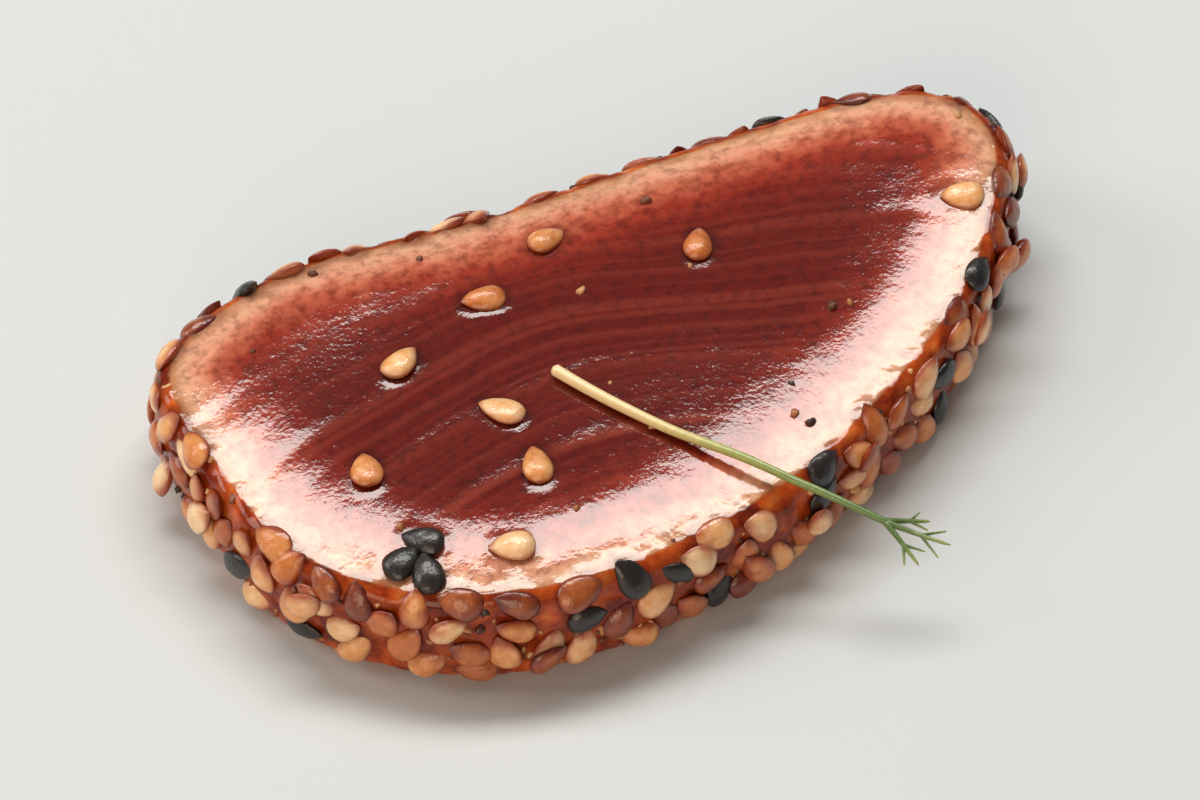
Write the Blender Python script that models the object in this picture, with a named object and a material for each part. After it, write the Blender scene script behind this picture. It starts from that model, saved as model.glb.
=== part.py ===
"""One slice of seared tuna with a sesame crust, lying on a cut face, with a herb sprout on top.

Metres, +Z up. The origin is on the surface that the slice rests on, under the middle of its plan.
+X runs along the slice from its blunt outer end to its narrower tip, and -Y is the rounder edge.
"""

import math
import random
from dataclasses import dataclass

import bmesh
import bpy
import numpy as np
from mathutils import Matrix, Vector, noise

MM = 0.001

# The slice in plan, without its seeds
SLICE_LENGTH = 60 * MM
SLICE_WIDTH = 34 * MM
BLUNT_POWER = 3.2  # superellipse power of the outer end: higher is squarer
TIP_POWER = 2.15
TAPER = 0.20  # share by which the width grows at the blunt end and shrinks at the tip
BULGE = 0.075  # share of the length by which the middle leans to -Y and flattens the +Y edge
HAND_CUT = ((3, 0.010, 0.4), (4, 0.008, 2.1), (5, 0.007, 4.4), (7, 0.006, 1.0), (9, 0.004, 3.3))
EDGE_STEPS = 720

# The slice from the side
SLICE_THICKNESS = 8 * MM
EDGE_ROUND = 0.7 * MM  # rounding where the knife left the face
BARREL = 0.55 * MM  # how far the seared side bulges out
WALL_LUMP = 0.35 * MM
WALL_LUMPS_ROUND = 4.5  # noise radius that sets how many lumps go round the side
WALL_LUMPS_UP = 1.3
SWELL = 0.30 * MM  # how far the raw middle stands above the cooked rim
SHOULDER = 0.75 * MM  # how far the face drops over its cooked rim
SHOULDER_SPAN = 8 * MM
WAVE = 0.30 * MM  # slow waves of a face cut by hand
WAVE_SPAN = 17 * MM
TIP_LIFT = 1.7 * MM  # how far the tip curls up off the surface
TIP_LIFT_FROM = 9 * MM
TIP_LIFT_POWER = 1.5
CORNER_LIFT = 0.8 * MM  # how far the far blunt corner curls up
CORNER_LIFT_FROM = 14 * MM
CORNER_SKEW = 0.6  # how far the corner's fold line is turned off the long axis

# The core's rings, from the middle of the top face to the middle of the underside
CORE_SEGMENTS = 132
FACE_RINGS = 22
ROUND_RINGS = 3
WALL_RINGS = 5
UNDER_RINGS = 4
CORE_TRIANGLES = 2150  # what is left when the flat parts are thinned out
FLAT_WITHIN = 0.02 * MM

# One sesame seed
SEED_LENGTH = 3.1 * MM
SEED_WIDTH = 1.95 * MM
SEED_DEPTH = 1.05 * MM
SEED_SIDES = 5
SEED_RINGS = 4
SEED_POINT = 0.34  # share by which a seed narrows at its pointed end and swells at the other
SEED_SPREAD = 0.09  # how uneven in size the seeds are
SEED_SINK = (0.22, 0.42)  # share of its depth that a seed is pressed in
FACE_SEED_SINK = (0.15, 0.30)

# The crust on the seared side
RIM_SEEDS = 160
RIM_TRIES = 14000
RIM_DRAW = 11
RIM_HEIGHTS = (0.8 * MM, 8.1 * MM)
RIM_PITCH = math.radians(9)
RIM_ROLL = math.radians(15)  # how far a seed may lie on one side
SEED_GAP = 1.50 * MM  # least distance between the discs that stand for two seeds
SEED_DISC_REACH = 0.80 * MM
BARE_PATCHES = 0.35  # how much thinner the crust is in its barer patches
PATCHES_ROUND = 2.4
LIP_TILT = math.radians(38)  # how far the seeds at the upper edge face up
LIP_FROM = 0.78
LIP_SINK = 0.24 * MM  # how much deeper they lie, because the edge is rounded off
FOOT_TILT = math.radians(14)
FOOT_BELOW = 0.20
EDGE_OVERHANG = 1.3 * MM  # how far a seed may stand above the thickness at the edge
FLOOR_GAP = 0.42 * MM
HEAPED_SEEDS = 16
HEAPED_DRAW = 23
HEAPED_HEIGHTS = (2.0 * MM, 6.6 * MM)
HEAPED_APART = 4.2 * MM
HEAPED_RISE = 0.62 * MM
HEAPED_PITCH = math.radians(20)

# Seeds on the upper face: places in mm and a spin
SHOWN_SEEDS = ((-15.0, 5.5, 0.4), (-7.5, 7.5, 2.8), (-1.0, 10.0, 0.2))
CLUMP = ((-23.5, -9.0, 0.3), (-21.6, -8.3, 2.2), (-22.6, -10.6, 1.2))
STRAY_SEEDS = 6
STRAY_DRAW = 37
STRAY_REACH = (0.08, 0.80)  # squared share of the way from the middle to the edge
STRAY_APART = 5.0 * MM
STRAY_PITCH = 0.12

# The herb sprout: a bent stem with a forked tip, which hangs a little over the rounder edge
SPROUT_START = (-7.0 * MM, -0.5 * MM)
SPROUT_BEND = (-3.9 * MM, -10.0 * MM)
SPROUT_END = (5.5 * MM, -22.0 * MM)
SPROUT_RADIUS = 0.42 * MM
SPROUT_TIP_RADIUS = 0.24 * MM
SPROUT_CLEAR = 0.34 * MM
SPROUT_POINTS = 18
OVER_EDGE = 0.55 * MM  # how much higher it lies where it crosses the edge
OVER_EDGE_SHARES = (0.40, 0.68)
DROOP = 2.6 * MM  # how far it would hang down beyond the edge if it went on
DROOP_SHARES = (0.72, 1.20)
TINES = ((-0.55, 3.6, 0.25), (0.05, 4.6, -0.35), (0.60, 3.2, 0.10))  # turn, length, fall in mm
TINE_POINTS = 5
TINE_TAPER = 0.11
SEEDS_OFF_SPROUT = 2.3 * MM
SPROUT_OVER_HEIGHT = 4.8 * MM  # seeds on the side below this height pass under the sprout

SMOOTH_ANGLE = math.radians(35)


def signed_power(value, power):
    """The value's size raised to a power, with its sign kept."""
    return math.copysign(abs(value) ** power, value)


def smooth_step(value, start, end):
    """0 before start, 1 after end, and smooth between them."""
    share = min(1.0, max(0.0, (value - start) / (end - start)))
    return share * share * (3 - 2 * share)


def plan_point(turn):
    """The slice's edge in plan at a turn, before it is fitted to the length and width."""
    power = BLUNT_POWER if math.cos(turn) < 0 else TIP_POWER
    along = signed_power(math.cos(turn), 2 / power)
    across = signed_power(math.sin(turn), 2 / power) * (1 - TAPER * along)
    uneven = 1 + sum(size * math.sin(waves * turn + phase) for waves, size, phase in HAND_CUT)
    lean = BULGE * SLICE_LENGTH / SLICE_WIDTH * 2 * (along * along - 0.5)
    return along * uneven, across * uneven + lean


class Edge:
    """The slice's outline, read by the share of the way round it."""

    def __init__(self):
        turns = np.linspace(0, 2 * math.pi, EDGE_STEPS + 1)
        points = np.array([plan_point(turn) for turn in turns])
        low, high = points.min(axis=0), points.max(axis=0)
        fit = np.array([SLICE_LENGTH, SLICE_WIDTH]) / (high - low)
        self.points = (points - (low + high) / 2) * fit
        steps = np.linalg.norm(np.diff(self.points, axis=0), axis=1)
        self.ways = np.concatenate([[0], np.cumsum(steps)])
        self.length = float(self.ways[-1])
        turns = np.arctan2(self.points[:-1, 1], self.points[:-1, 0])
        order = np.argsort(turns)
        self.turns = turns[order]
        self.reaches = np.hypot(self.points[:-1, 0], self.points[:-1, 1])[order]

    def point(self, share):
        """The point this share of the way round, as a flat vector."""
        way = (share % 1.0) * self.length
        x = np.interp(way, self.ways, self.points[:, 0])
        y = np.interp(way, self.ways, self.points[:, 1])
        return Vector((float(x), float(y), 0))

    def normal(self, share):
        """The outward direction there, level."""
        reach = 1.0 * MM / self.length
        along = self.point(share + reach) - self.point(share - reach)
        return Vector((along.y, -along.x, 0)).normalized()

    def inward(self, x, y):
        """How far in from the outline a place is, along the line from the middle."""
        reach = np.interp(math.atan2(y, x), self.turns, self.reaches, period=2 * math.pi)
        return max(0.0, float(reach) - math.hypot(x, y))


EDGE = Edge()


def lift(x, y):
    """How far the underside curls up off the surface."""
    tip = smooth_step(x, TIP_LIFT_FROM, SLICE_LENGTH / 2) ** TIP_LIFT_POWER
    corner = smooth_step(y - x * CORNER_SKEW, CORNER_LIFT_FROM, SLICE_LENGTH / 2)
    return TIP_LIFT * tip + CORNER_LIFT * corner


def top(x, y):
    """The height of the upper cut face."""
    reach = min(1.0, (2 * x / SLICE_LENGTH) ** 2 + (2 * y / SLICE_WIDTH) ** 2)
    wave = WAVE * noise.noise(Vector((x, y, 10 * MM)) / WAVE_SPAN)
    near = 1 - min(1.0, EDGE.inward(x, y) / SHOULDER_SPAN)
    middle = SLICE_THICKNESS + lift(x, y) + SWELL * (1 - reach) + wave
    return middle - SHOULDER * near * near


def wall_stand(share, level):
    """How far the seared side stands out from the outline, at a share of its height."""
    around = 2 * math.pi * share
    round_it = Vector((math.cos(around), math.sin(around), 0)) * WALL_LUMPS_ROUND
    lump = noise.noise(round_it + Vector((0, 0, level * WALL_LUMPS_UP)))
    return (BARREL + WALL_LUMP * lump) * math.sin(math.pi * level)


def on_section(place, level):
    """Raises a point of the plan to a share of the height between underside and face."""
    low = lift(place.x, place.y)
    return Vector((place.x, place.y, low + level * (top(place.x, place.y) - low)))


def section_rings():
    """One (reach, inset, level) for each ring of the core, from the face's middle downwards."""
    rings = [(step / FACE_RINGS, EDGE_ROUND, 1.0) for step in range(1, FACE_RINGS + 1)]
    turns = [math.pi / 2 * step / ROUND_RINGS for step in range(1, ROUND_RINGS + 1)]
    corner = [(EDGE_ROUND * (1 - math.sin(a)), EDGE_ROUND * (1 - math.cos(a))) for a in turns]
    rings += [(1.0, inset, 1 - drop / SLICE_THICKNESS) for inset, drop in corner]
    rings += [(1.0, 0.0, 1 - step / (WALL_RINGS + 1)) for step in range(1, WALL_RINGS + 1)]
    rings += [(1.0, inset, drop / SLICE_THICKNESS) for inset, drop in reversed(corner)]
    rings += [(step / UNDER_RINGS, EDGE_ROUND, 0.0) for step in range(UNDER_RINGS, 0, -1)]
    return rings


def core_point(share, ring):
    """Where a point of the core lies."""
    reach, inset, level = ring
    outward = EDGE.normal(share)
    place = (EDGE.point(share) - outward * inset) * reach + outward * wall_stand(share, level)
    return on_section(place, level)


def make_core():
    """The fish without its seeds: a sphere whose rings are laid on the slice's section."""
    rings = section_rings()
    bands = len(rings) + 1
    shape = bmesh.new()
    bmesh.ops.create_uvsphere(shape, u_segments=CORE_SEGMENTS, v_segments=bands, radius=1)
    for vertex in shape.verts:
        polar = math.acos(max(-1.0, min(1.0, vertex.co.z)))
        number = round(polar / math.pi * bands) - 1
        share = math.atan2(vertex.co.y, vertex.co.x) / (2 * math.pi)
        if 0 <= number < len(rings):
            vertex.co = core_point(share, rings[number])
        else:
            vertex.co = on_section(Vector((0, 0, 0)), 1.0 if number < 0 else 0.0)
    bmesh.ops.triangulate(shape, faces=shape.faces)
    mesh = bpy.data.meshes.new("tuna_slice")
    shape.to_mesh(mesh)
    shape.free()
    return bpy.data.objects.new("tuna_slice", mesh)


def apply_modifiers(body):
    """Gives the object its evaluated mesh for good."""
    bpy.context.view_layer.update()
    seen = body.evaluated_get(bpy.context.evaluated_depsgraph_get())
    mesh = bpy.data.meshes.new_from_object(seen)
    body.modifiers.clear()
    body.data = mesh


def thin_out(body):
    """Leaves the core's triangles where its form needs them, with its resting surface flat."""
    thin = body.modifiers.new("thin", "DECIMATE")
    thin.ratio = CORE_TRIANGLES / len(body.data.polygons)
    apply_modifiers(body)
    shape = bmesh.new()
    shape.from_mesh(body.data)
    for vertex in shape.verts:
        if vertex.co.z < FLAT_WITHIN:
            vertex.co.z = 0
    bmesh.ops.recalc_face_normals(shape, faces=shape.faces)
    shape.to_mesh(body.data)
    shape.free()


def make_seed_mesh():
    """A flat teardrop of few sides, pointed at +X, with its broad side up."""
    shape = bmesh.new()
    bmesh.ops.create_uvsphere(shape, u_segments=SEED_SIDES, v_segments=SEED_RINGS, radius=1)
    for vertex in shape.verts:
        along, across, up = vertex.co.z, vertex.co.x, vertex.co.y
        narrow = 1 - SEED_POINT * along
        vertex.co.x = along * SEED_LENGTH / 2
        vertex.co.y = across * narrow * SEED_WIDTH / 2
        vertex.co.z = up * narrow * SEED_DEPTH / 2
    bmesh.ops.recalc_face_normals(shape, faces=shape.faces)
    mesh = bpy.data.meshes.new("seed")
    shape.to_mesh(mesh)
    shape.free()
    return mesh


def seed_matrix(place, outward, along, pitch, roll, size):
    """Sets a seed at a place, its broad side outward, its point along, tipped and rolled."""
    side = outward.cross(along).normalized()
    along = side.cross(outward).normalized()
    turned = Matrix((along, side, outward)).transposed().to_4x4()
    tipped = turned @ Matrix.Rotation(-pitch, 4, "Y") @ Matrix.Rotation(roll, 4, "X")
    return Matrix.Translation(place) @ tipped @ Matrix.Diagonal((*size, 1))


def seed_size(draw):
    """How much longer, wider and deeper than usual a seed is."""
    return tuple(1 + draw.uniform(-SEED_SPREAD, SEED_SPREAD) for _ in range(3))


@dataclass
class RimSeed:
    """A seed on the unrolled side: its way round, height and turn, and how it stands there."""

    share: float
    rise: float
    spin: float
    pitch: float
    roll: float
    stand: float
    sink: float
    size: tuple

    def discs(self, length):
        """Three points along the seed, which keep the others off."""
        step = Vector((math.cos(self.spin), math.sin(self.spin))) * SEED_DISC_REACH
        return [Vector((self.share * length, self.rise)) + step * n for n in (-1, 0, 1)]

    def fits_height(self):
        """Whether it stays off the surface below and near the face above."""
        upright, level = abs(math.sin(self.spin)), abs(math.cos(self.spin))
        reach = (upright * SEED_LENGTH + level * SEED_WIDTH) / 2
        high = SLICE_THICKNESS + EDGE_OVERHANG
        return FLOOR_GAP < self.rise - reach and self.rise + reach < high

    def off_sprout(self, stem):
        """Whether it leaves the sprout's way over the edge free."""
        place = EDGE.point(self.share)
        return self.rise < SPROUT_OVER_HEIGHT or way_to(stem, place) > SEEDS_OFF_SPROUT

    def matrix(self):
        """Where it lies on the slice, leaning over the edges of the faces."""
        level, outward = self.rise / SLICE_THICKNESS, EDGE.normal(self.share)
        around = Vector((-outward.y, outward.x, 0))
        place = EDGE.point(self.share) + outward * wall_stand(self.share, level)
        lip = smooth_step(level, LIP_FROM, 1.0)
        tilt = LIP_TILT * lip - FOOT_TILT * smooth_step(-level, -FOOT_BELOW, 0.0)
        outward = outward * math.cos(tilt) + Vector((0, 0, math.sin(tilt)))
        along = around * math.cos(self.spin) + outward.cross(around) * math.sin(self.spin)
        out_by = SEED_DEPTH * (0.5 - self.sink) + self.stand - LIP_SINK * lip
        centre = on_section(place, level) + outward * out_by
        return seed_matrix(centre, outward, along, self.pitch, self.roll, self.size)


def way_to(line, place):
    """The level distance from a place to the nearest of a line's points."""
    return min(math.hypot(place.x - point.x, place.y - point.y) for point in line)


def draw_rim_seed(draw, heights, stand, most_pitch):
    """Draws one seed for the side."""
    share, rise, spin = draw.random(), draw.uniform(*heights), draw.uniform(0, math.pi)
    pitch, roll = draw.uniform(-most_pitch, most_pitch), draw.uniform(-RIM_ROLL, RIM_ROLL)
    sink = draw.uniform(*SEED_SINK)
    return RimSeed(share, rise, spin, pitch, roll, stand, sink, seed_size(draw))


def too_close(discs, others, length):
    """Whether a seed on the unrolled side would lie on one that is already there."""
    for mine in discs:
        for theirs in others:
            aside = abs(mine.x - theirs.x)
            aside = min(aside, length - aside)
            if math.hypot(aside, mine.y - theirs.y) < SEED_GAP:
                return True
    return False


def rim_seeds(stem):
    """The crust's first layer: seeds pressed into the seared side, thinner in some patches."""
    draw = random.Random(RIM_DRAW)
    seeds, discs = [], []
    for _ in range(RIM_TRIES):
        seed = draw_rim_seed(draw, RIM_HEIGHTS, 0.0, RIM_PITCH)
        around = 2 * math.pi * seed.share
        patch = noise.noise(Vector((math.cos(around), math.sin(around), 0)) * PATCHES_ROUND)
        left_bare = draw.random() < BARE_PATCHES * patch
        if left_bare or not seed.fits_height() or not seed.off_sprout(stem):
            continue
        if len(seeds) < RIM_SEEDS and not too_close(seed.discs(EDGE.length), discs, EDGE.length):
            discs += seed.discs(EDGE.length)
            seeds.append(seed)
    return seeds


def heaped_seeds(stem):
    """The crust's second layer: a few seeds tipped over those beneath."""
    draw = random.Random(HEAPED_DRAW)
    seeds, ways = [], []
    while len(seeds) < HEAPED_SEEDS:
        seed = draw_rim_seed(draw, HEAPED_HEIGHTS, HEAPED_RISE, HEAPED_PITCH)
        way = Vector((seed.share * EDGE.length, seed.rise))
        apart = all((way - other).length > HEAPED_APART for other in ways)
        if apart and seed.fits_height() and seed.off_sprout(stem):
            ways.append(way)
            seeds.append(seed)
    return seeds


def face_places(stem):
    """Where seeds lie on the upper face, and how each is turned."""
    draw = random.Random(STRAY_DRAW)
    places = [(Vector((x, y, 0)) * MM, spin) for x, y, spin in CLUMP + SHOWN_SEEDS]
    while len(places) < STRAY_SEEDS + len(CLUMP + SHOWN_SEEDS):
        place = EDGE.point(draw.random()) * math.sqrt(draw.uniform(*STRAY_REACH))
        others = [other for other, _ in places]
        if way_to(stem, place) > SEEDS_OFF_SPROUT and way_to(others, place) > STRAY_APART:
            places.append((place, draw.uniform(0, math.pi)))
    return places


def face_seed_matrix(place, spin, draw):
    """Lays a seed on the upper face, along its slope."""
    x, y, reach = place.x, place.y, 1.0 * MM
    slope_x = (top(x + reach, y) - top(x - reach, y)) / (2 * reach)
    slope_y = (top(x, y + reach) - top(x, y - reach)) / (2 * reach)
    outward = Vector((-slope_x, -slope_y, 1)).normalized()
    along = Vector((math.cos(spin), math.sin(spin), 0))
    sink, pitch = draw.uniform(*FACE_SEED_SINK), draw.uniform(-STRAY_PITCH, STRAY_PITCH)
    roll = draw.uniform(-STRAY_PITCH, STRAY_PITCH)
    centre = on_section(place, 1.0) + outward * SEED_DEPTH * (0.5 - sink)
    return seed_matrix(centre, outward, along, pitch, roll, seed_size(draw))


def seed_matrices(stem):
    """Every seed's place on the slice."""
    draw = random.Random(STRAY_DRAW + 1)
    on_rim = [seed.matrix() for seed in rim_seeds(stem) + heaped_seeds(stem)]
    return on_rim + [face_seed_matrix(p, spin, draw) for p, spin in face_places(stem)]


def stem_line():
    """The sprout's stem: one smooth bend over the face, clear of it and of the edge's seeds."""
    start, bend, end = (Vector((*p, 0)) for p in (SPROUT_START, SPROUT_BEND, SPROUT_END))
    points = []
    for step in range(SPROUT_POINTS):
        share = step / (SPROUT_POINTS - 1)
        point = start * (1 - share) ** 2 + bend * 2 * share * (1 - share) + end * share**2
        over = OVER_EDGE * smooth_step(share, *OVER_EDGE_SHARES)
        fall = DROOP * smooth_step(share, *DROOP_SHARES)
        point.z = top(point.x, point.y) + SPROUT_CLEAR + SPROUT_RADIUS + over - fall
        points.append(point)
    return points


def tine_line(stem, turn, length, fall):
    """One fine tine of the fork, leaving the stem's end at a turn to it."""
    forward = (stem[-1] - stem[-3]).normalized()
    forward.rotate(Matrix.Rotation(turn, 3, "Z"))
    shares = [step / (TINE_POINTS - 1) for step in range(TINE_POINTS)]
    bent = [forward * length * share + Vector((0, 0, -fall * share**2)) for share in shares]
    return [stem[-2] + way * MM for way in bent]


def make_tube(name, points, radii):
    """A round rod along these points, as a closed mesh."""
    line = bpy.data.curves.new(name, "CURVE")
    line.dimensions = "3D"
    line.bevel_depth = 1
    line.bevel_resolution = 1
    line.use_fill_caps = True
    spline = line.splines.new("POLY")
    spline.points.add(len(points) - 1)
    for target, point, radius in zip(spline.points, points, radii):
        target.co = (*point, 1)
        target.radius = radius
    rod = bpy.data.objects.new(name, line)
    bpy.context.scene.collection.objects.link(rod)
    bpy.context.view_layer.update()
    seen = rod.evaluated_get(bpy.context.evaluated_depsgraph_get())
    mesh = bpy.data.meshes.new_from_object(seen)
    bpy.data.objects.remove(rod)
    weld_caps(mesh)
    return bpy.data.objects.new(name, mesh)


def weld_caps(mesh):
    """Joins a rod's loose end caps to it."""
    shape = bmesh.new()
    shape.from_mesh(mesh)
    bmesh.ops.remove_doubles(shape, verts=shape.verts, dist=0.001 * MM)
    bmesh.ops.recalc_face_normals(shape, faces=shape.faces)
    shape.to_mesh(mesh)
    shape.free()


def union(body, others):
    """Joins the others to the body for good, and removes them."""
    group = bpy.data.collections.new("joined")
    bpy.context.scene.collection.children.link(group)
    for other in others:
        group.objects.link(other)
    join = body.modifiers.new("join", "BOOLEAN")
    join.operation = "UNION"
    join.operand_type = "COLLECTION"
    join.collection = group
    join.solver = "EXACT"
    apply_modifiers(body)
    for other in others:
        bpy.data.objects.remove(other)
    bpy.data.collections.remove(group)


def find_shells(shape):
    """The separate closed shells of a mesh, as sets of vertices, the largest last."""
    waiting, shells = set(shape.verts), []
    while waiting:
        shell, reached = set(), [waiting.pop()]
        while reached:
            vertex = reached.pop()
            shell.add(vertex)
            near = {link.other_vert(vertex) for link in vertex.link_edges} & waiting
            waiting -= near
            reached += near
        shells.append(shell)
    return sorted(shells, key=len)


def keep_outer_shell(body):
    """Fills the hollows that joining sealed and drops loose scraps."""
    shape = bmesh.new()
    shape.from_mesh(body.data)
    bmesh.ops.triangulate(shape, faces=shape.faces)
    for shell in find_shells(shape)[:-1]:
        bmesh.ops.delete(shape, geom=list(shell), context="VERTS")
    shape.to_mesh(body.data)
    shape.free()


def finish(body, material):
    """Gives a joined body its one material and smooth shading."""
    keep_outer_shell(body)
    body.data.materials.clear()
    body.data.materials.append(material)
    body.data.shade_smooth()
    body.data.set_sharp_from_angle(angle=SMOOTH_ANGLE)


def make_material(name, colour, roughness):
    """A plain Principled material in linear colour."""
    material = bpy.data.materials.new(name)
    material.use_nodes = True
    shader = material.node_tree.nodes["Principled BSDF"]
    shader.inputs["Base Color"].default_value = (*colour, 1)
    shader.inputs["Roughness"].default_value = roughness
    shader.inputs["Metallic"].default_value = 0
    return material


def make_slice(collection, stem):
    """The fish with all its seeds, as one solid."""
    body = make_core()
    collection.objects.link(body)
    thin_out(body)
    seed = make_seed_mesh()
    copies = []
    for matrix in seed_matrices(stem):
        copy = bpy.data.objects.new("seed", seed)
        copy.matrix_world = matrix
        copies.append(copy)
    union(body, copies)
    finish(body, make_material("seared_tuna", (0.23, 0.035, 0.018), 0.35))


def make_sprout(collection, stem):
    """The herb sprout, its stem and tines joined, with its origin at the stem's cut end."""
    line = [point - stem[0] for point in stem]
    radii = np.linspace(SPROUT_RADIUS, SPROUT_TIP_RADIUS, len(line))
    body = make_tube("herb_sprout", line, radii)
    collection.objects.link(body)
    thin = [SPROUT_TIP_RADIUS * (0.95 - TINE_TAPER * step) for step in range(TINE_POINTS)]
    union(body, [make_tube("tine", tine_line(line, *tine), thin) for tine in TINES])
    finish(body, make_material("herb_green", (0.16, 0.22, 0.05), 0.45))
    body.location = stem[0]


def main():
    for old in list(bpy.data.objects):
        bpy.data.objects.remove(old)
    collection = bpy.data.collections.new("sesame_crusted_tuna")
    bpy.context.scene.collection.children.link(collection)
    stem = stem_line()
    make_slice(collection, stem)
    make_sprout(collection, stem)


main()
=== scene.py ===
"""The looks of one slice of seared tuna with a sesame crust and a herb sprout lying on it.

The slice lies flat on a cut face. +X runs along it from the blunt outer end to the tip, -Y is its
rounder edge and +Z points out of the shown cut face. All lengths are in metres.
"""

import logging
import math
import random
from dataclasses import dataclass, field
from enum import Enum
from functools import cached_property
from typing import Any, Callable

import bmesh
import bpy
import numpy as np
from mathutils import Matrix, Vector, kdtree, noise


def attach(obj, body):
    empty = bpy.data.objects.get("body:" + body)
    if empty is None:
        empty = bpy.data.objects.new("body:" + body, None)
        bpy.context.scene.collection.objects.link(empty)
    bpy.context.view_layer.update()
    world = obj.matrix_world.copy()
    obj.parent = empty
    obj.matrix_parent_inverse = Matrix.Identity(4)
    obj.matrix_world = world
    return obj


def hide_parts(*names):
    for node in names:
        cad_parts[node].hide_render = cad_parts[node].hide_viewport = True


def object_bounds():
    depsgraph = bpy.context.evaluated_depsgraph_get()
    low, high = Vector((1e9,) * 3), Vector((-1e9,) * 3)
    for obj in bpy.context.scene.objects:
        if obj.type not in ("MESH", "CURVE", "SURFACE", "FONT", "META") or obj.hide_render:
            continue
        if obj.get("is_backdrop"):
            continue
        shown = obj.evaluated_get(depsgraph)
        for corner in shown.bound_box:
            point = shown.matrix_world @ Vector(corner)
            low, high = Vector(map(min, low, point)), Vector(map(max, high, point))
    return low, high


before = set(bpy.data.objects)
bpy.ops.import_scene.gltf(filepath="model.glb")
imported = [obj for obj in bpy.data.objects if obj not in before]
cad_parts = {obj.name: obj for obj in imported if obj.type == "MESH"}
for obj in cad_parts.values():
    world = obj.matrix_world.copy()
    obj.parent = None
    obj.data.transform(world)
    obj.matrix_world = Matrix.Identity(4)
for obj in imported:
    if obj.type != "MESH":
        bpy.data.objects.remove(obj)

MM = 0.001
BODY = "root"
LOG = logging.getLogger("tuna")


# Small helpers

def smooth_step(value: float, start: float, end: float) -> float:
    """Eases from 0 to 1.

    Args:
        value: The number to place between the two ends.
        start: Where the step leaves 0.
        end: Where the step reaches 1.

    Returns:
        0 before start, 1 after end, and a smooth rise between them.
    """
    share = min(1.0, max(0.0, (value - start) / (end - start)))
    return share * share * (3 - 2 * share)


def signed_power(value: float, power: float) -> float:
    """Raises a number's size to a power and keeps its sign.

    Args:
        value: The number.
        power: The power for its size.

    Returns:
        The number with its size raised.
    """
    return math.copysign(abs(value) ** power, value)


def linear(hex_colour: str) -> tuple[float, float, float, float]:
    """Turns an sRGB hex colour to the linear colour that shaders take.

    Args:
        hex_colour: Six hex digits after a hash sign.

    Returns:
        Red, green, blue and an alpha of 1.
    """
    parts = [int(hex_colour[place:place + 2], 16) / 255 for place in (1, 3, 5)]
    red, green, blue = (
        part / 12.92 if part <= 0.04045 else ((part + 0.055) / 1.055) ** 2.4 for part in parts
    )
    return red, green, blue, 1.0


def way_to(line: list[Vector], place: Vector) -> float:
    """Measures how far a place is from a line, in plan.

    Args:
        line: The line's points.
        place: The place to measure from.

    Returns:
        The level distance to the nearest point.
    """
    return min(math.hypot(place.x - point.x, place.y - point.y) for point in line)


def link(piece: bpy.types.Object, stands_for: str) -> None:
    """Puts a piece in the scene, on the food's one body and in place of a plain solid.

    Args:
        piece: The finished object.
        stands_for: The node that it takes the place of.
    """
    bpy.context.scene.collection.objects.link(piece)
    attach(piece, BODY)
    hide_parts(stands_for)
    LOG.info("%s: %d faces", piece.name, len(piece.data.polygons))


# The slice's form, the same as the solid's

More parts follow.
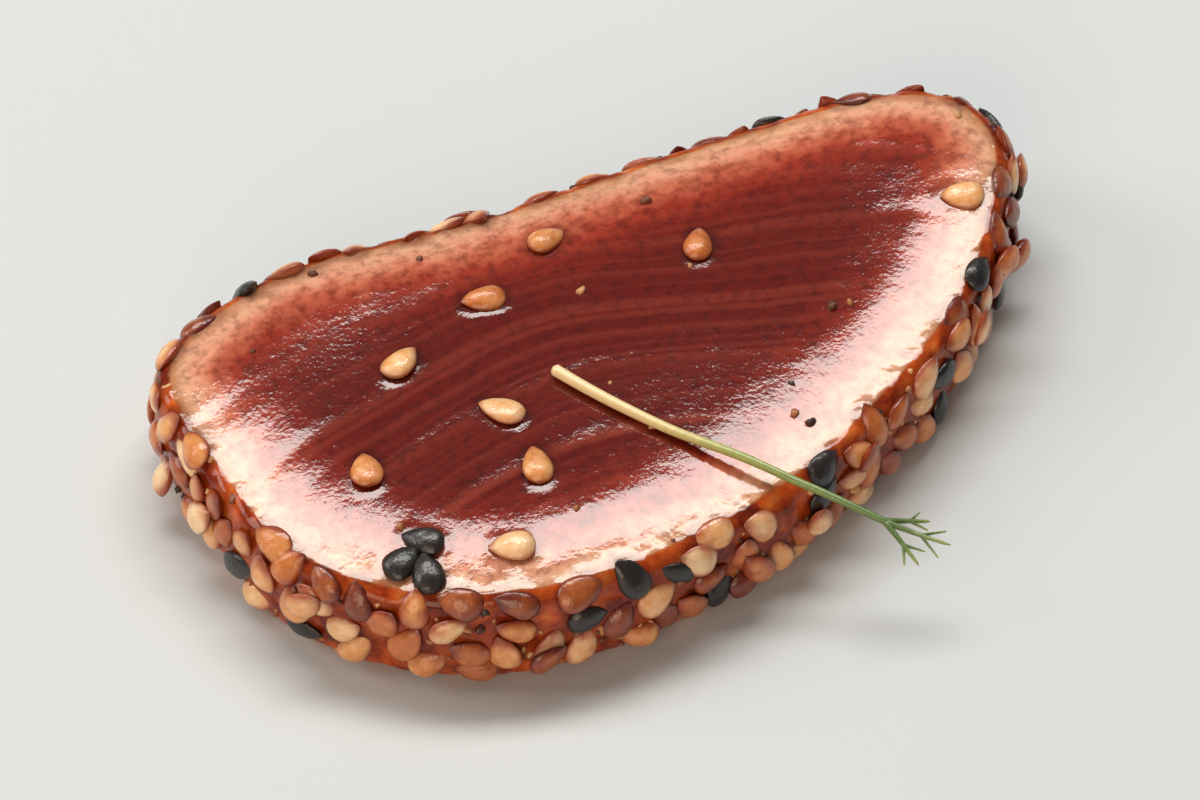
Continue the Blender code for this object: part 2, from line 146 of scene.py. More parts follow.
@dataclass(frozen=True)
class SliceForm:
    """The sizes of the slice and the heights of its faces."""

    length: float = 60 * MM
    width: float = 34 * MM
    blunt_power: float = 3.2
    tip_power: float = 2.15
    taper: float = 0.20
    bulge: float = 0.075
    hand_cut: tuple[tuple[int, float, float], ...] = (
        (3, 0.010, 0.4), (4, 0.008, 2.1), (5, 0.007, 4.4), (7, 0.006, 1.0), (9, 0.004, 3.3),
    )
    thickness: float = 8 * MM
    edge_round: float = 0.7 * MM
    barrel: float = 0.55 * MM
    wall_lump: float = 0.35 * MM
    wall_lumps_round: float = 4.5
    wall_lumps_up: float = 1.3
    swell: float = 0.30 * MM
    shoulder: float = 0.75 * MM
    shoulder_span: float = 8 * MM
    wave: float = 0.30 * MM
    wave_span: float = 17 * MM
    tip_lift: float = 1.7 * MM
    tip_lift_from: float = 9 * MM
    tip_lift_power: float = 1.5
    corner_lift: float = 0.8 * MM
    corner_lift_from: float = 14 * MM
    corner_skew: float = 0.6
    flake_centre: tuple[float, float] = (-14 * MM, -46 * MM)
    flake_pitch: float = 5.6 * MM
    flake_sharpness: int = 5
    flake_wander: float = 1.6 * MM
    flake_wander_span: float = 14 * MM

    @cached_property
    def outline(self) -> "Outline":
        """Fits the edge in plan once."""
        return Outline(self)

    def plan_point(self, turn: float) -> tuple[float, float]:
        """Reads the edge in plan before it is fitted to the length and width.

        Args:
            turn: The angle that drives the curve round the slice.

        Returns:
            The point along and across.
        """
        power = self.blunt_power if math.cos(turn) < 0 else self.tip_power
        along = signed_power(math.cos(turn), 2 / power)
        across = signed_power(math.sin(turn), 2 / power) * (1 - self.taper * along)
        cuts = (size * math.sin(waves * turn + phase) for waves, size, phase in self.hand_cut)
        uneven = 1 + sum(cuts)
        lean = self.bulge * self.length / self.width * 2 * (along * along - 0.5)
        return along * uneven, across * uneven + lean

    def lift(self, x: float, y: float) -> float:
        """Reads how far the underside curls up off the surface.

        Args:
            x: The place along the slice.
            y: The place across it.

        Returns:
            The height of the underside.
        """
        half = self.length / 2
        tip = smooth_step(x, self.tip_lift_from, half) ** self.tip_lift_power
        corner = smooth_step(y - x * self.corner_skew, self.corner_lift_from, half)
        return self.tip_lift * tip + self.corner_lift * corner

    def seam_way(self, x: float, y: float) -> float:
        """Counts muscle flakes outwards from the point that their arcs share.

        Args:
            x: The place along the slice.
            y: The place across it.

        Returns:
            The number of flakes passed, whole on a seam.
        """
        wander = self.flake_wander * noise.noise(Vector((x, y, 0)) / self.flake_wander_span)
        centre_x, centre_y = self.flake_centre
        return (math.hypot(x - centre_x, y - centre_y) + wander) / self.flake_pitch

    def seam(self, x: float, y: float) -> float:
        """Reads how deep in the seam between two flakes a place is.

        Args:
            x: The place along the slice.
            y: The place across it.

        Returns:
            1 in the middle of a seam and 0 on a flake.
        """
        beat = 0.5 + 0.5 * math.cos(2 * math.pi * self.seam_way(x, y))
        return beat ** self.flake_sharpness

    def top(self, x: float, y: float) -> float:
        """Reads the height of the upper face.

        Args:
            x: The place along the slice.
            y: The place across it.

        Returns:
            The height.
        """
        reach = min(1.0, (2 * x / self.length) ** 2 + (2 * y / self.width) ** 2)
        wave = self.wave * noise.noise(Vector((x, y, 10 * MM)) / self.wave_span)
        near = 1 - min(1.0, self.outline.inward(x, y) / self.shoulder_span)
        middle = self.thickness + self.lift(x, y) + self.swell * (1 - reach) + wave
        return middle - self.shoulder * near * near

    def on_section(self, place: Vector, level: float) -> Vector:
        """Raises a point of the plan between the underside and the upper face.

        Args:
            place: The point in plan.
            level: 0 for the underside and 1 for the upper face.

        Returns:
            The point at that height.
        """
        low = self.lift(place.x, place.y)
        return Vector((place.x, place.y, low + level * (self.top(place.x, place.y) - low)))

    def wall_stand(self, share: float, level: float) -> float:
        """Reads how far the seared side stands out from the outline.

        Args:
            share: The share of the way round the slice.
            level: The share of the height.

        Returns:
            The distance outwards.
        """
        around = 2 * math.pi * share
        round_it = Vector((math.cos(around), math.sin(around), 0)) * self.wall_lumps_round
        lump = noise.noise(round_it + Vector((0, 0, level * self.wall_lumps_up)))
        return (self.barrel + self.wall_lump * lump) * math.sin(math.pi * level)


class Outline:
    """The slice's edge in plan, read by the share of the way round it."""

    STEPS = 720

    def __init__(self, form: SliceForm) -> None:
        """Fits the form's curve to its length and width.

        Args:
            form: The slice's sizes.
        """
        turns = np.linspace(0, 2 * math.pi, self.STEPS + 1)
        points = np.array([form.plan_point(turn) for turn in turns])
        low, high = points.min(axis=0), points.max(axis=0)
        fit = np.array([form.length, form.width]) / (high - low)
        self.points = (points - (low + high) / 2) * fit
        steps = np.linalg.norm(np.diff(self.points, axis=0), axis=1)
        self.ways = np.concatenate([[0], np.cumsum(steps)])
        self.length = float(self.ways[-1])
        turns = np.arctan2(self.points[:-1, 1], self.points[:-1, 0])
        order = np.argsort(turns)
        self.turns = turns[order]
        self.reaches = np.hypot(self.points[:-1, 0], self.points[:-1, 1])[order]
        self.tree = kdtree.KDTree(len(self.points))
        for number, (x, y) in enumerate(self.points):
            self.tree.insert(Vector((x, y, 0)), number)
        self.tree.balance()

    def point(self, share: float) -> Vector:
        """Reads a point of the edge.

        Args:
            share: The share of the way round.

        Returns:
            The point, at height 0.
        """
        way = (share % 1.0) * self.length
        x = np.interp(way, self.ways, self.points[:, 0])
        y = np.interp(way, self.ways, self.points[:, 1])
        return Vector((float(x), float(y), 0))

    def normal(self, share: float) -> Vector:
        """Reads the level direction out of the edge.

        Args:
            share: The share of the way round.

        Returns:
            A vector of length 1.
        """
        reach = 1.0 * MM / self.length
        along = self.point(share + reach) - self.point(share - reach)
        return Vector((along.y, -along.x, 0)).normalized()

    def inward(self, x: float, y: float) -> float:
        """Measures how far in from the edge a place is, along the line from the middle.

        Args:
            x: The place along the slice.
            y: The place across it.

        Returns:
            The distance, 0 on and beyond the edge.
        """
        reach = np.interp(math.atan2(y, x), self.turns, self.reaches, period=2 * math.pi)
        return max(0.0, float(reach) - math.hypot(x, y))

    def inside_by(self, place: Vector) -> float:
        """Measures how far in from the edge a place is.

        Args:
            place: The place, read in plan.

        Returns:
            The distance to the edge.
        """
        return self.tree.find(Vector((place.x, place.y, 0)))[2]


# Where every seed lies, by the same seeded rule as in the solid

class SeedKind(Enum):
    """The two sesames in the crust."""

    PALE = "pale_sesame"
    BLACK = "black_sesame"


@dataclass(frozen=True)
class SeedSize:
    """The sizes of one hulled sesame seed."""

    length: float = 3.1 * MM
    width: float = 1.95 * MM
    depth: float = 1.05 * MM
    point: float = 0.34
    spread: float = 0.09
    disc_reach: float = 0.80 * MM

    def draw(self, chance: random.Random) -> tuple[float, ...]:
        """Draws how much longer, wider and deeper than usual a seed is.

        Args:
            chance: The seeded source of numbers.

        Returns:
            Three factors near 1.
        """
        return tuple(1 + chance.uniform(-self.spread, self.spread) for _ in range(3))

    def matrix(
        self,
        place: Vector,
        outward: Vector,
        along: Vector,
        pitch: float,
        roll: float,
        size: tuple[float, ...],
    ) -> Matrix:
        """Sets a seed at a place with its broad side outward.

        Args:
            place: The seed's middle.
            outward: The direction that its broad side faces.
            along: The direction that its point leans to.
            pitch: How far its point is tipped up.
            roll: How far it lies on one side.
            size: Its three factors of size.

        Returns:
            The seed's world matrix.
        """
        side = outward.cross(along).normalized()
        along = side.cross(outward).normalized()
        turned = Matrix((along, side, outward)).transposed().to_4x4()
        tipped = turned @ Matrix.Rotation(-pitch, 4, "Y") @ Matrix.Rotation(roll, 4, "X")
        return Matrix.Translation(place) @ tipped @ Matrix.Diagonal((*size, 1))


@dataclass(frozen=True)
class SideSeed:
    """A seed on the unrolled seared side."""

    share: float
    rise: float
    spin: float
    pitch: float
    roll: float
    stand: float
    sink: float
    size: tuple[float, ...]

    def discs(self, length: float, reach: float) -> list[Vector]:
        """Lists three points along the seed, which keep the others off.

        Args:
            length: The length of the way round the slice.
            reach: How far the outer two are from the seed's middle.

        Returns:
            Their places on the unrolled side.
        """
        step = Vector((math.cos(self.spin), math.sin(self.spin))) * reach
        return [Vector((self.share * length, self.rise)) + step * n for n in (-1, 0, 1)]


@dataclass(frozen=True)
class Seed:
    """One seed as it lies on the slice."""

    matrix: Matrix
    kind: SeedKind
    toast: float
    glazed: float
    variant: int


@dataclass(frozen=True)
class Layer:
    """Seeds that were pressed in the side together."""

    draw: int
    most: int  # fewer find room
    tries: int
    gap: float
    sink: tuple[float, float]
    bare: float  # how much thinner the layer is in patches


@dataclass
class CrustPlan:
    """Places the seeds that were pressed on the side before the slice was cut, and the strays."""

    form: SliceForm
    stem: list[Vector]
    seed: SeedSize = field(default_factory=SeedSize)
    rim: Layer = Layer(11, 160, 14000, 1.50 * MM, (0.22, 0.42), 0.35)
    tucked: Layer = Layer(71, 60, 9000, 1.22 * MM, (0.46, 0.58), 0.0)
    rim_heights: tuple[float, float] = (0.8 * MM, 8.1 * MM)
    rim_pitch: float = math.radians(9)
    rim_roll: float = math.radians(15)
    patches_round: float = 2.4
    lip_tilt: float = math.radians(38)
    lip_from: float = 0.78
    lip_sink: float = 0.24 * MM
    foot_tilt: float = math.radians(14)
    foot_below: float = 0.20
    edge_overhang: float = 1.3 * MM
    floor_gap: float = 0.42 * MM
    heaped_seeds: int = 16
    heaped_draw: int = 23
    heaped_heights: tuple[float, float] = (2.0 * MM, 6.6 * MM)
    heaped_apart: float = 4.2 * MM
    heaped_rise: float = 0.62 * MM
    heaped_pitch: float = math.radians(20)
    shown_seeds: tuple[tuple[float, float, float], ...] = (
        (-15.0, 5.5, 0.4), (-7.5, 7.5, 2.8), (-1.0, 10.0, 0.2),
    )
    clump: tuple[tuple[float, float, float], ...] = (
        (-23.5, -9.0, 0.3), (-21.6, -8.3, 2.2), (-22.6, -10.6, 1.2),
    )
    stray_seeds: int = 6
    stray_draw: int = 37
    stray_reach: tuple[float, float] = (0.08, 0.80)
    stray_apart: float = 5.0 * MM
    stray_pitch: float = 0.12
    stray_sink: tuple[float, float] = (0.15, 0.30)
    off_sprout: float = 2.3 * MM
    sprout_over_height: float = 4.8 * MM
    colour_draw: int = 5
    black_share: float = 0.09
    side_toast: tuple[float, float] = (1.3, 1.9)  # how the toasting is spread, pale to dark
    face_toast: tuple[float, float] = (1.3, 4.0)  # the strays are paler
    side_glaze: float = 1.0
    face_glaze: float = 0.35
    variants: int = 7

    def draw_side_seed(
        self,
        chance: random.Random,
        heights: tuple[float, float],
        stand: float,
        most_pitch: float,
        sink: tuple[float, float],
    ) -> SideSeed:
        """Draws one seed for the side.

        Args:
            chance: The seeded source of numbers.
            heights: The lowest and highest place for its middle.
            stand: How far it stands out from its bed.
            most_pitch: The furthest that it may be tipped.
            sink: The least and most share of its depth that is pressed in.

        Returns:
            The seed, which may still not fit.
        """
        share, rise = chance.random(), chance.uniform(*heights)
        spin = chance.uniform(0, math.pi)
        pitch = chance.uniform(-most_pitch, most_pitch)
        roll, depth = chance.uniform(-self.rim_roll, self.rim_roll), chance.uniform(*sink)
        return SideSeed(share, rise, spin, pitch, roll, stand, depth, self.seed.draw(chance))

    def fits(self, seed: SideSeed) -> bool:
        """Tells whether a seed clears the surface below, the face above and the sprout.

        Args:
            seed: The seed on the unrolled side.

        Returns:
            True where it may stay.
        """
        upright, level = abs(math.sin(seed.spin)), abs(math.cos(seed.spin))
        reach = (upright * self.seed.length + level * self.seed.width) / 2
        high = self.form.thickness + self.edge_overhang
        if not self.floor_gap < seed.rise - reach or not seed.rise + reach < high:
            return False
        place = self.form.outline.point(seed.share)
        return seed.rise < self.sprout_over_height or way_to(self.stem, place) > self.off_sprout

    def crowded(self, discs: list[Vector], others: list[Vector], gap: float) -> bool:
        """Tells whether a seed would lie on one that is already there.

        Args:
            discs: The points along the new seed.
            others: The points of the seeds before it.
            gap: The least distance between two points.

        Returns:
            True where it would.
        """
        for mine in discs:
            for theirs in others:
                aside = abs(mine.x - theirs.x)
                aside = min(aside, self.form.outline.length - aside)
                if math.hypot(aside, mine.y - theirs.y) < gap:
                    return True
        return False

    def patch(self, share: float) -> float:
        """Reads how bare the crust is at a share of the way round, from -1 to 1."""
        around = 2 * math.pi * share
        return noise.noise(Vector((math.cos(around), math.sin(around), 0)) * self.patches_round)

    def pressed(self, layer: Layer, discs: list[Vector]) -> list[SideSeed]:
        """Presses a layer of seeds into the seared side, between those that are there.

        Args:
            layer: Which layer.
            discs: The points of the seeds before, which the new seeds' points are added to.

        Returns:
            The seeds that fit.
        """
        chance, seeds = random.Random(layer.draw), []
        for _ in range(layer.tries):
            seed = self.draw_side_seed(chance, self.rim_heights, 0.0, self.rim_pitch, layer.sink)
            bare = layer.bare and chance.random() < layer.bare * self.patch(seed.share)
            if bare or len(seeds) == layer.most or not self.fits(seed):
                continue
            mine = seed.discs(self.form.outline.length, self.seed.disc_reach)
            if not self.crowded(mine, discs, layer.gap):
                discs += mine
                seeds.append(seed)
        return seeds

    def heaped(self) -> list[SideSeed]:
        """Tips a few seeds over those beneath.

        Returns:
            The seeds of the upper layer.
        """
        chance, seeds, ways = random.Random(self.heaped_draw), [], []
        while len(seeds) < self.heaped_seeds:
            seed = self.draw_side_seed(
                chance, self.heaped_heights, self.heaped_rise, self.heaped_pitch, self.rim.sink
            )
            way = Vector((seed.share * self.form.outline.length, seed.rise))
            if self.fits(seed) and all((way - w).length > self.heaped_apart for w in ways):
                ways.append(way)
                seeds.append(seed)
        return seeds

    def on_side(self, seed: SideSeed) -> Matrix:
        """Lays a seed on the side, leaning over the edges of the faces.

        Args:
            seed: The seed on the unrolled side.

        Returns:
            Its world matrix.
        """
        level, outward = seed.rise / self.form.thickness, self.form.outline.normal(seed.share)
        around = Vector((-outward.y, outward.x, 0))
        stand = self.form.wall_stand(seed.share, level)
        place = self.form.outline.point(seed.share) + outward * stand
        lip = smooth_step(level, self.lip_from, 1.0)
        foot = smooth_step(-level, -self.foot_below, 0.0)
        tilt = self.lip_tilt * lip - self.foot_tilt * foot
        outward = outward * math.cos(tilt) + Vector((0, 0, math.sin(tilt)))
        along = around * math.cos(seed.spin) + outward.cross(around) * math.sin(seed.spin)
        out_by = self.seed.depth * (0.5 - seed.sink) + seed.stand - self.lip_sink * lip
        centre = self.form.on_section(place, level) + outward * out_by
        return self.seed.matrix(centre, outward, along, seed.pitch, seed.roll, seed.size)

    def face_places(self) -> list[tuple[Vector, float]]:
        """Finds where seeds lie on the upper face, those of the clump first.

        Returns:
            Each one's place in plan and its turn.
        """
        chance = random.Random(self.stray_draw)
        chosen = self.clump + self.shown_seeds
        places = [(Vector((x, y, 0)) * MM, spin) for x, y, spin in chosen]
        while len(places) < self.stray_seeds + len(chosen):
            inward = self.form.outline.point(chance.random())
            place = inward * math.sqrt(chance.uniform(*self.stray_reach))
            others = [other for other, _ in places]
            clear = way_to(self.stem, place) > self.off_sprout
            if clear and way_to(others, place) > self.stray_apart:
                places.append((place, chance.uniform(0, math.pi)))
        return places

    def on_face(self, place: Vector, spin: float, chance: random.Random) -> Matrix:
        """Lays a seed on the upper face, along its slope.

        Args:
            place: Its place in plan.
            spin: Its turn.
            chance: The seeded source of numbers.

        Returns:
            Its world matrix.
        """
        x, y, reach = place.x, place.y, 1.0 * MM
        top = self.form.top
        slope_x = (top(x + reach, y) - top(x - reach, y)) / (2 * reach)
        slope_y = (top(x, y + reach) - top(x, y - reach)) / (2 * reach)
        outward = Vector((-slope_x, -slope_y, 1)).normalized()
        along = Vector((math.cos(spin), math.sin(spin), 0))
        sink = chance.uniform(*self.stray_sink)
        pitch = chance.uniform(-self.stray_pitch, self.stray_pitch)
        roll = chance.uniform(-self.stray_pitch, self.stray_pitch)
        centre = self.form.on_section(place, 1.0) + outward * self.seed.depth * (0.5 - sink)
        return self.seed.matrix(centre, outward, along, pitch, roll, self.seed.draw(chance))

    def seeds(self) -> list[Seed]:
        """Lists every seed with its kind and how dark it was toasted.

        Returns:
            The seeds of the crust, then those on the face.
        """
        discs: list[Vector] = []
        side = self.pressed(self.rim, discs) + self.heaped() + self.pressed(self.tucked, discs)
        colour, lay = random.Random(self.colour_draw), random.Random(self.stray_draw + 1)
        seeds = []
        for seed in side:
            kind = SeedKind.BLACK if colour.random() < self.black_share else SeedKind.PALE
            toast = colour.betavariate(*self.side_toast)
            variant = colour.randrange(self.variants)
            seeds.append(Seed(self.on_side(seed), kind, toast, self.side_glaze, variant))
        for number, (place, spin) in enumerate(self.face_places()):
            kind = SeedKind.BLACK if number < len(self.clump) else SeedKind.PALE
            toast = colour.betavariate(*self.face_toast)
            variant = colour.randrange(self.variants)
            lain = self.on_face(place, spin, lay)
            seeds.append(Seed(lain, kind, toast, self.face_glaze, variant))
        return seeds


# Finishes

Tree = bpy.types.NodeTree
Socket = bpy.types.NodeSocket
Stops = tuple[tuple[float, str], ...]


def feed(tree: Tree, node: bpy.types.Node, inputs: dict[str | int, Any]) -> None:
    """Fills a node's inputs.

    Args:
        tree: The material's node tree.
        node: The node.
        inputs: For each input, a plain value or the output that feeds it.
    """
    for name, value in inputs.items():
        if isinstance(value, Socket):
            tree.links.new(value, node.inputs[name])
        else:
            node.inputs[name].default_value = value


def add_node(
    tree: Tree,
    kind: str,
    inputs: dict[str | int, Any],
    settings: dict[str, Any] | None = None,
    output: str | int = 0,
) -> Socket:
    """Adds a node with its settings and links.

    Args:
        tree: The material's node tree.
        kind: The node's type.
        inputs: For each input, a plain value or the output that feeds it.
        settings: Values for the node's own properties.
        output: Which of the node's outputs is wanted.

    Returns:
        That output.
    """
    node = tree.nodes.new(kind)
    for name, value in (settings or {}).items():
        setattr(node, name, value)
    feed(tree, node, inputs)
    return node.outputs[output]


def set_stops(ramp: bpy.types.Node, stops: Stops) -> None:
    """Gives a colour ramp its stops.

    Args:
        ramp: The ColorRamp node.
        stops: Each stop's place and its sRGB hex colour.
    """
    elements = ramp.color_ramp.elements
    while len(elements) < len(stops):
        elements.new(0.5)
    for element, (place, colour) in zip(elements, stops):
        element.position = place
        element.color = linear(colour)


def shifted(tree: Tree, value: Socket, pattern: Socket, reach: float) -> Socket:
    """Shifts a number up and down by a pattern whose middle is a half.

    Args:
        tree: The material's node tree.
        value: The number.
        pattern: The pattern, from 0 to 1.
        reach: How much the pattern shifts the number by, from its least to its most.

    Returns:
        The shifted number.
    """
    raised = add_node(
        tree, "ShaderNodeMath", {0: pattern, 1: reach, 2: value}, {"operation": "MULTIPLY_ADD"}
    )
    return add_node(tree, "ShaderNodeMath", {0: raised, 1: reach / 2}, {"operation": "SUBTRACT"})


class Blend(Enum):
    """How a tint meets the colour under it."""

    COVER = "MIX"
    DARKEN = "MULTIPLY"


class Easing(Enum):
    """How a tint grows between the two ends of its pattern's range."""

    EVEN = "LINEAR"
    SOFT = "SMOOTHSTEP"


@dataclass(frozen=True)
class Tint:
    """A colour that lies over another one where a pattern is strong."""

    colour: str
    edges: tuple[float, float]  # the pattern's values where the tint starts and is full
    strength: float
    blend: Blend = Blend.COVER
    easing: Easing = Easing.EVEN

    def over(self, tree: Tree, pattern: Socket, colour: Socket) -> Socket:
        """Lays the tint over a colour.

        Args:
            tree: The material's node tree.
            pattern: The pattern.
            colour: The colour under it.

        Returns:
            The tinted colour.
        """
        low, high = self.edges
        inputs = {0: pattern, 1: low, 2: high, 3: 0.0, 4: self.strength}
        settings = {"interpolation_type": self.easing.value}
        share = add_node(tree, "ShaderNodeMapRange", inputs, settings)
        inputs = {0: share, 6: colour, 7: linear(self.colour)}
        settings = {"data_type": "RGBA", "blend_type": self.blend.value}
        return add_node(tree, "ShaderNodeMix", inputs, settings, 2)


def start_material(name: str) -> tuple[bpy.types.Material, Tree]:
    """Starts a material with a Principled shader.

    Args:
        name: The material's name.

    Returns:
        The material and its node tree.
    """
    made = bpy.data.materials.new(name)
    made.use_nodes = True
    return made, made.node_tree


@dataclass(frozen=True)
class RareTuna:
    """Yellowfin loin seared for seconds, sliced with a wet knife and brushed with soy and oil.

    The heat reaches 3 to 4 mm in, so the cut face goes from pale cooked fish at the rim through
    pink to a deep raw red. Muscle flakes part in pale seams, the fibres give a fine mottle, and
    the film of juice and oil over it all gives broad wet glints.
    """

    name: str = "rare_tuna"
    heat_depth: float = 9.0  # mm of the cut face that the ramp spans
    heat_stops: Stops = (
        (0.00, "#96502A"), (0.05, "#C08458"), (0.13, "#DDA986"), (0.25, "#DE9A7C"),
        (0.38, "#C4694C"), (0.53, "#98311D"), (0.72, "#771A0C"), (1.00, "#620F05"),
    )
    side_stops: Stops = ((0.28, "#4A1307"), (0.42, "#8B2D0C"), (0.58, "#C15319"), (0.78, "#DB8941"))
    seam: Tint = Tint("#A24630", (0.60, 1.0), 0.22, easing=Easing.SOFT)
    vein: Tint = Tint("#550E0A", (0.46, 0.66), 0.45, Blend.DARKEN)
    line: Tint = Tint("#A24630", (0.45, 0.80), 0.26)
    lines_per_flake: float = 6.0
    line_sway: float = 0.10  # in flakes
    pool_colour: str = "#7A3F22"
    pool_strength: float = 0.45
    wander: float = 2.4 * MM  # how far apart the waves in the heat's reach are
    wander_reach: float = 2.6  # mm that the heat's reach varies in waves
    mottle: float = 0.75 * MM  # bundles of muscle fibre
    mottle_reach: float = 1.3  # mm that it varies from bundle to bundle
    fibre: float = 0.30 * MM  # single fibres are finer; drawn as coarse as they need to show
    bundle_rise: float = 0.022 * MM
    fibre_rise: float = 0.019 * MM
    film_share: float = 0.6  # share of the relief that shows through the wet film
    char: float = 2.1 * MM
    ior: float = 1.38
    roughness: float = 0.55
    specular: float = 0.06
    coat: float = 1.0
    side_coat: float = 0.6  # the fried side is drier than the cut faces
    coat_roughness: float = 0.08
    glow: float = 0.22
    glow_colour: tuple[float, float, float] = (1.0, 0.35, 0.22)
    glow_depth: float = 1.6 * MM

    def heat(self, tree: Tree, place: Socket) -> Socket:
        """Colours the cut face by how far the heat reached.

        Args:
            tree: The material's node tree.
            place: Object coordinates.

        Returns:
            The colour.
        """
        depth = add_node(tree, "ShaderNodeAttribute", {}, {"attribute_name": "edge_mm"}, "Fac")
        slow = add_node(tree, "ShaderNodeTexNoise", {"Vector": place, "Scale": 1 / self.wander})
        inputs = {"Vector": place, "Scale": 1 / self.mottle, "Detail": 4.0}
        quick = add_node(tree, "ShaderNodeTexNoise", inputs)
        for pattern, reach in ((slow, self.wander_reach), (quick, self.mottle_reach)):
            inputs = {0: pattern, 1: reach, 2: depth}
            depth = add_node(tree, "ShaderNodeMath", inputs, {"operation": "MULTIPLY_ADD"})
        start = (self.wander_reach + self.mottle_reach) / 2
        inputs = {0: depth, 1: start, 2: start + self.heat_depth}
        share = add_node(tree, "ShaderNodeMapRange", inputs)
        colour = add_node(tree, "ShaderNodeValToRGB", {0: share})
        set_stops(colour.node, self.heat_stops)
        return colour

    def veined(self, tree: Tree, place: Socket, colour: Socket) -> Socket:
        """Adds the pale seams between flakes, the dark fibre bundles and the lines in the flakes.

        Args:
            tree: The material's node tree.
            place: Object coordinates.
            colour: The colour of the cut face.

        Returns:
            The colour.
        """
        seam = add_node(tree, "ShaderNodeAttribute", {}, {"attribute_name": "seam"}, "Fac")
        inputs = {"Vector": place, "Scale": 1 / self.mottle, "Detail": 5.0, "Roughness": 0.65}
        bundles = add_node(tree, "ShaderNodeTexNoise", inputs)
        colour = self.vein.over(tree, bundles, self.seam.over(tree, seam, colour))
        return self.line.over(tree, self.muscle_lines(tree, place), colour)

    def muscle_lines(self, tree: Tree, place: Socket) -> Socket:
        """Draws uneven lines along the flakes, like the grain in a round of wood.

        Args:
            tree: The material's node tree.
            place: Object coordinates.

        Returns:
            The lines' strength.
        """
        flake = add_node(tree, "ShaderNodeAttribute", {}, {"attribute_name": "flake"}, "Fac")
        sway = add_node(tree, "ShaderNodeTexNoise", {"Vector": place, "Scale": 1 / self.wander})
        inputs = {0: sway, 1: self.line_sway, 2: flake}
        along = add_node(tree, "ShaderNodeMath", inputs, {"operation": "MULTIPLY_ADD"})
        inputs = {"W": along, "Scale": self.lines_per_flake, "Detail": 1.5}
        return add_node(tree, "ShaderNodeTexNoise", inputs, {"noise_dimensions": "1D"})

    def seared(self, tree: Tree, place: Socket, face: Socket) -> Socket:
        """Browns the side where it met the pan, darker where glaze pools round the seeds.

        Args:
            tree: The material's node tree.
            place: Object coordinates.
            face: The colour of the cut faces.

        Returns:
            The colour.
        """
        inputs = {"Vector": place, "Scale": 1 / self.char, "Detail": 7.0, "Roughness": 0.62}
        char = add_node(tree, "ShaderNodeTexNoise", inputs)
        brown = add_node(tree, "ShaderNodeValToRGB", {0: char})
        set_stops(brown.node, self.side_stops)
        side, seat = (
            add_node(tree, "ShaderNodeAttribute", {}, {"attribute_name": name}, "Fac")
            for name in ("side", "seat")
        )
        inputs = {0: seat, 1: self.pool_strength}
        pooled = add_node(tree, "ShaderNodeMath", inputs, {"operation": "MULTIPLY"})
        inputs = {0: side, 6: face, 7: brown}
        browned = add_node(tree, "ShaderNodeMix", inputs, {"data_type": "RGBA"}, 2)
        inputs = {0: pooled, 6: browned, 7: linear(self.pool_colour)}
        settings = {"data_type": "RGBA", "blend_type": Blend.DARKEN.value}
        return add_node(tree, "ShaderNodeMix", inputs, settings, 2)

    def relief(self, tree: Tree, place: Socket, share: float) -> Socket:
        """Roughens the surface with bundles of fibre and their cut ends.

        Args:
            tree: The material's node tree.
            place: Object coordinates.
            share: How much of the relief shows.

        Returns:
            The normal.
        """
        below: dict[str, Socket] = {}
        for pitch, detail, rise in (
            (self.mottle, 3.0, self.bundle_rise), (self.fibre, 2.0, self.fibre_rise),
        ):
            inputs = {"Vector": place, "Scale": 1 / pitch, "Detail": detail}
            height = add_node(tree, "ShaderNodeTexNoise", inputs)
            inputs = {"Strength": share, "Distance": rise, "Height": height} | below
            below = {"Normal": add_node(tree, "ShaderNodeBump", inputs)}
        return below["Normal"]

    def material(self) -> bpy.types.Material:
        """Builds the material.

        Returns:
            The finished material.
        """
        made, tree = start_material(self.name)
        place = add_node(tree, "ShaderNodeTexCoord", {}, output="Object")
        side = add_node(tree, "ShaderNodeAttribute", {}, {"attribute_name": "side"}, "Fac")
        inputs = {0: side, 3: self.coat, 4: self.side_coat}
        feed(tree, tree.nodes["Principled BSDF"], {
            "Base Color": self.seared(
                tree, place, self.veined(tree, place, self.heat(tree, place))
            ),
            "Normal": self.relief(tree, place, 1.0),
            "Roughness": self.roughness,
            "IOR": self.ior,
            "Specular IOR Level": self.specular,
            "Coat Weight": add_node(tree, "ShaderNodeMapRange", inputs),
            "Coat Roughness": self.coat_roughness,
            "Coat Normal": self.relief(tree, place, self.film_share),
            "Subsurface Weight": self.glow,
            "Subsurface Radius": self.glow_colour,
            "Subsurface Scale": self.glow_depth,
        })
        return made


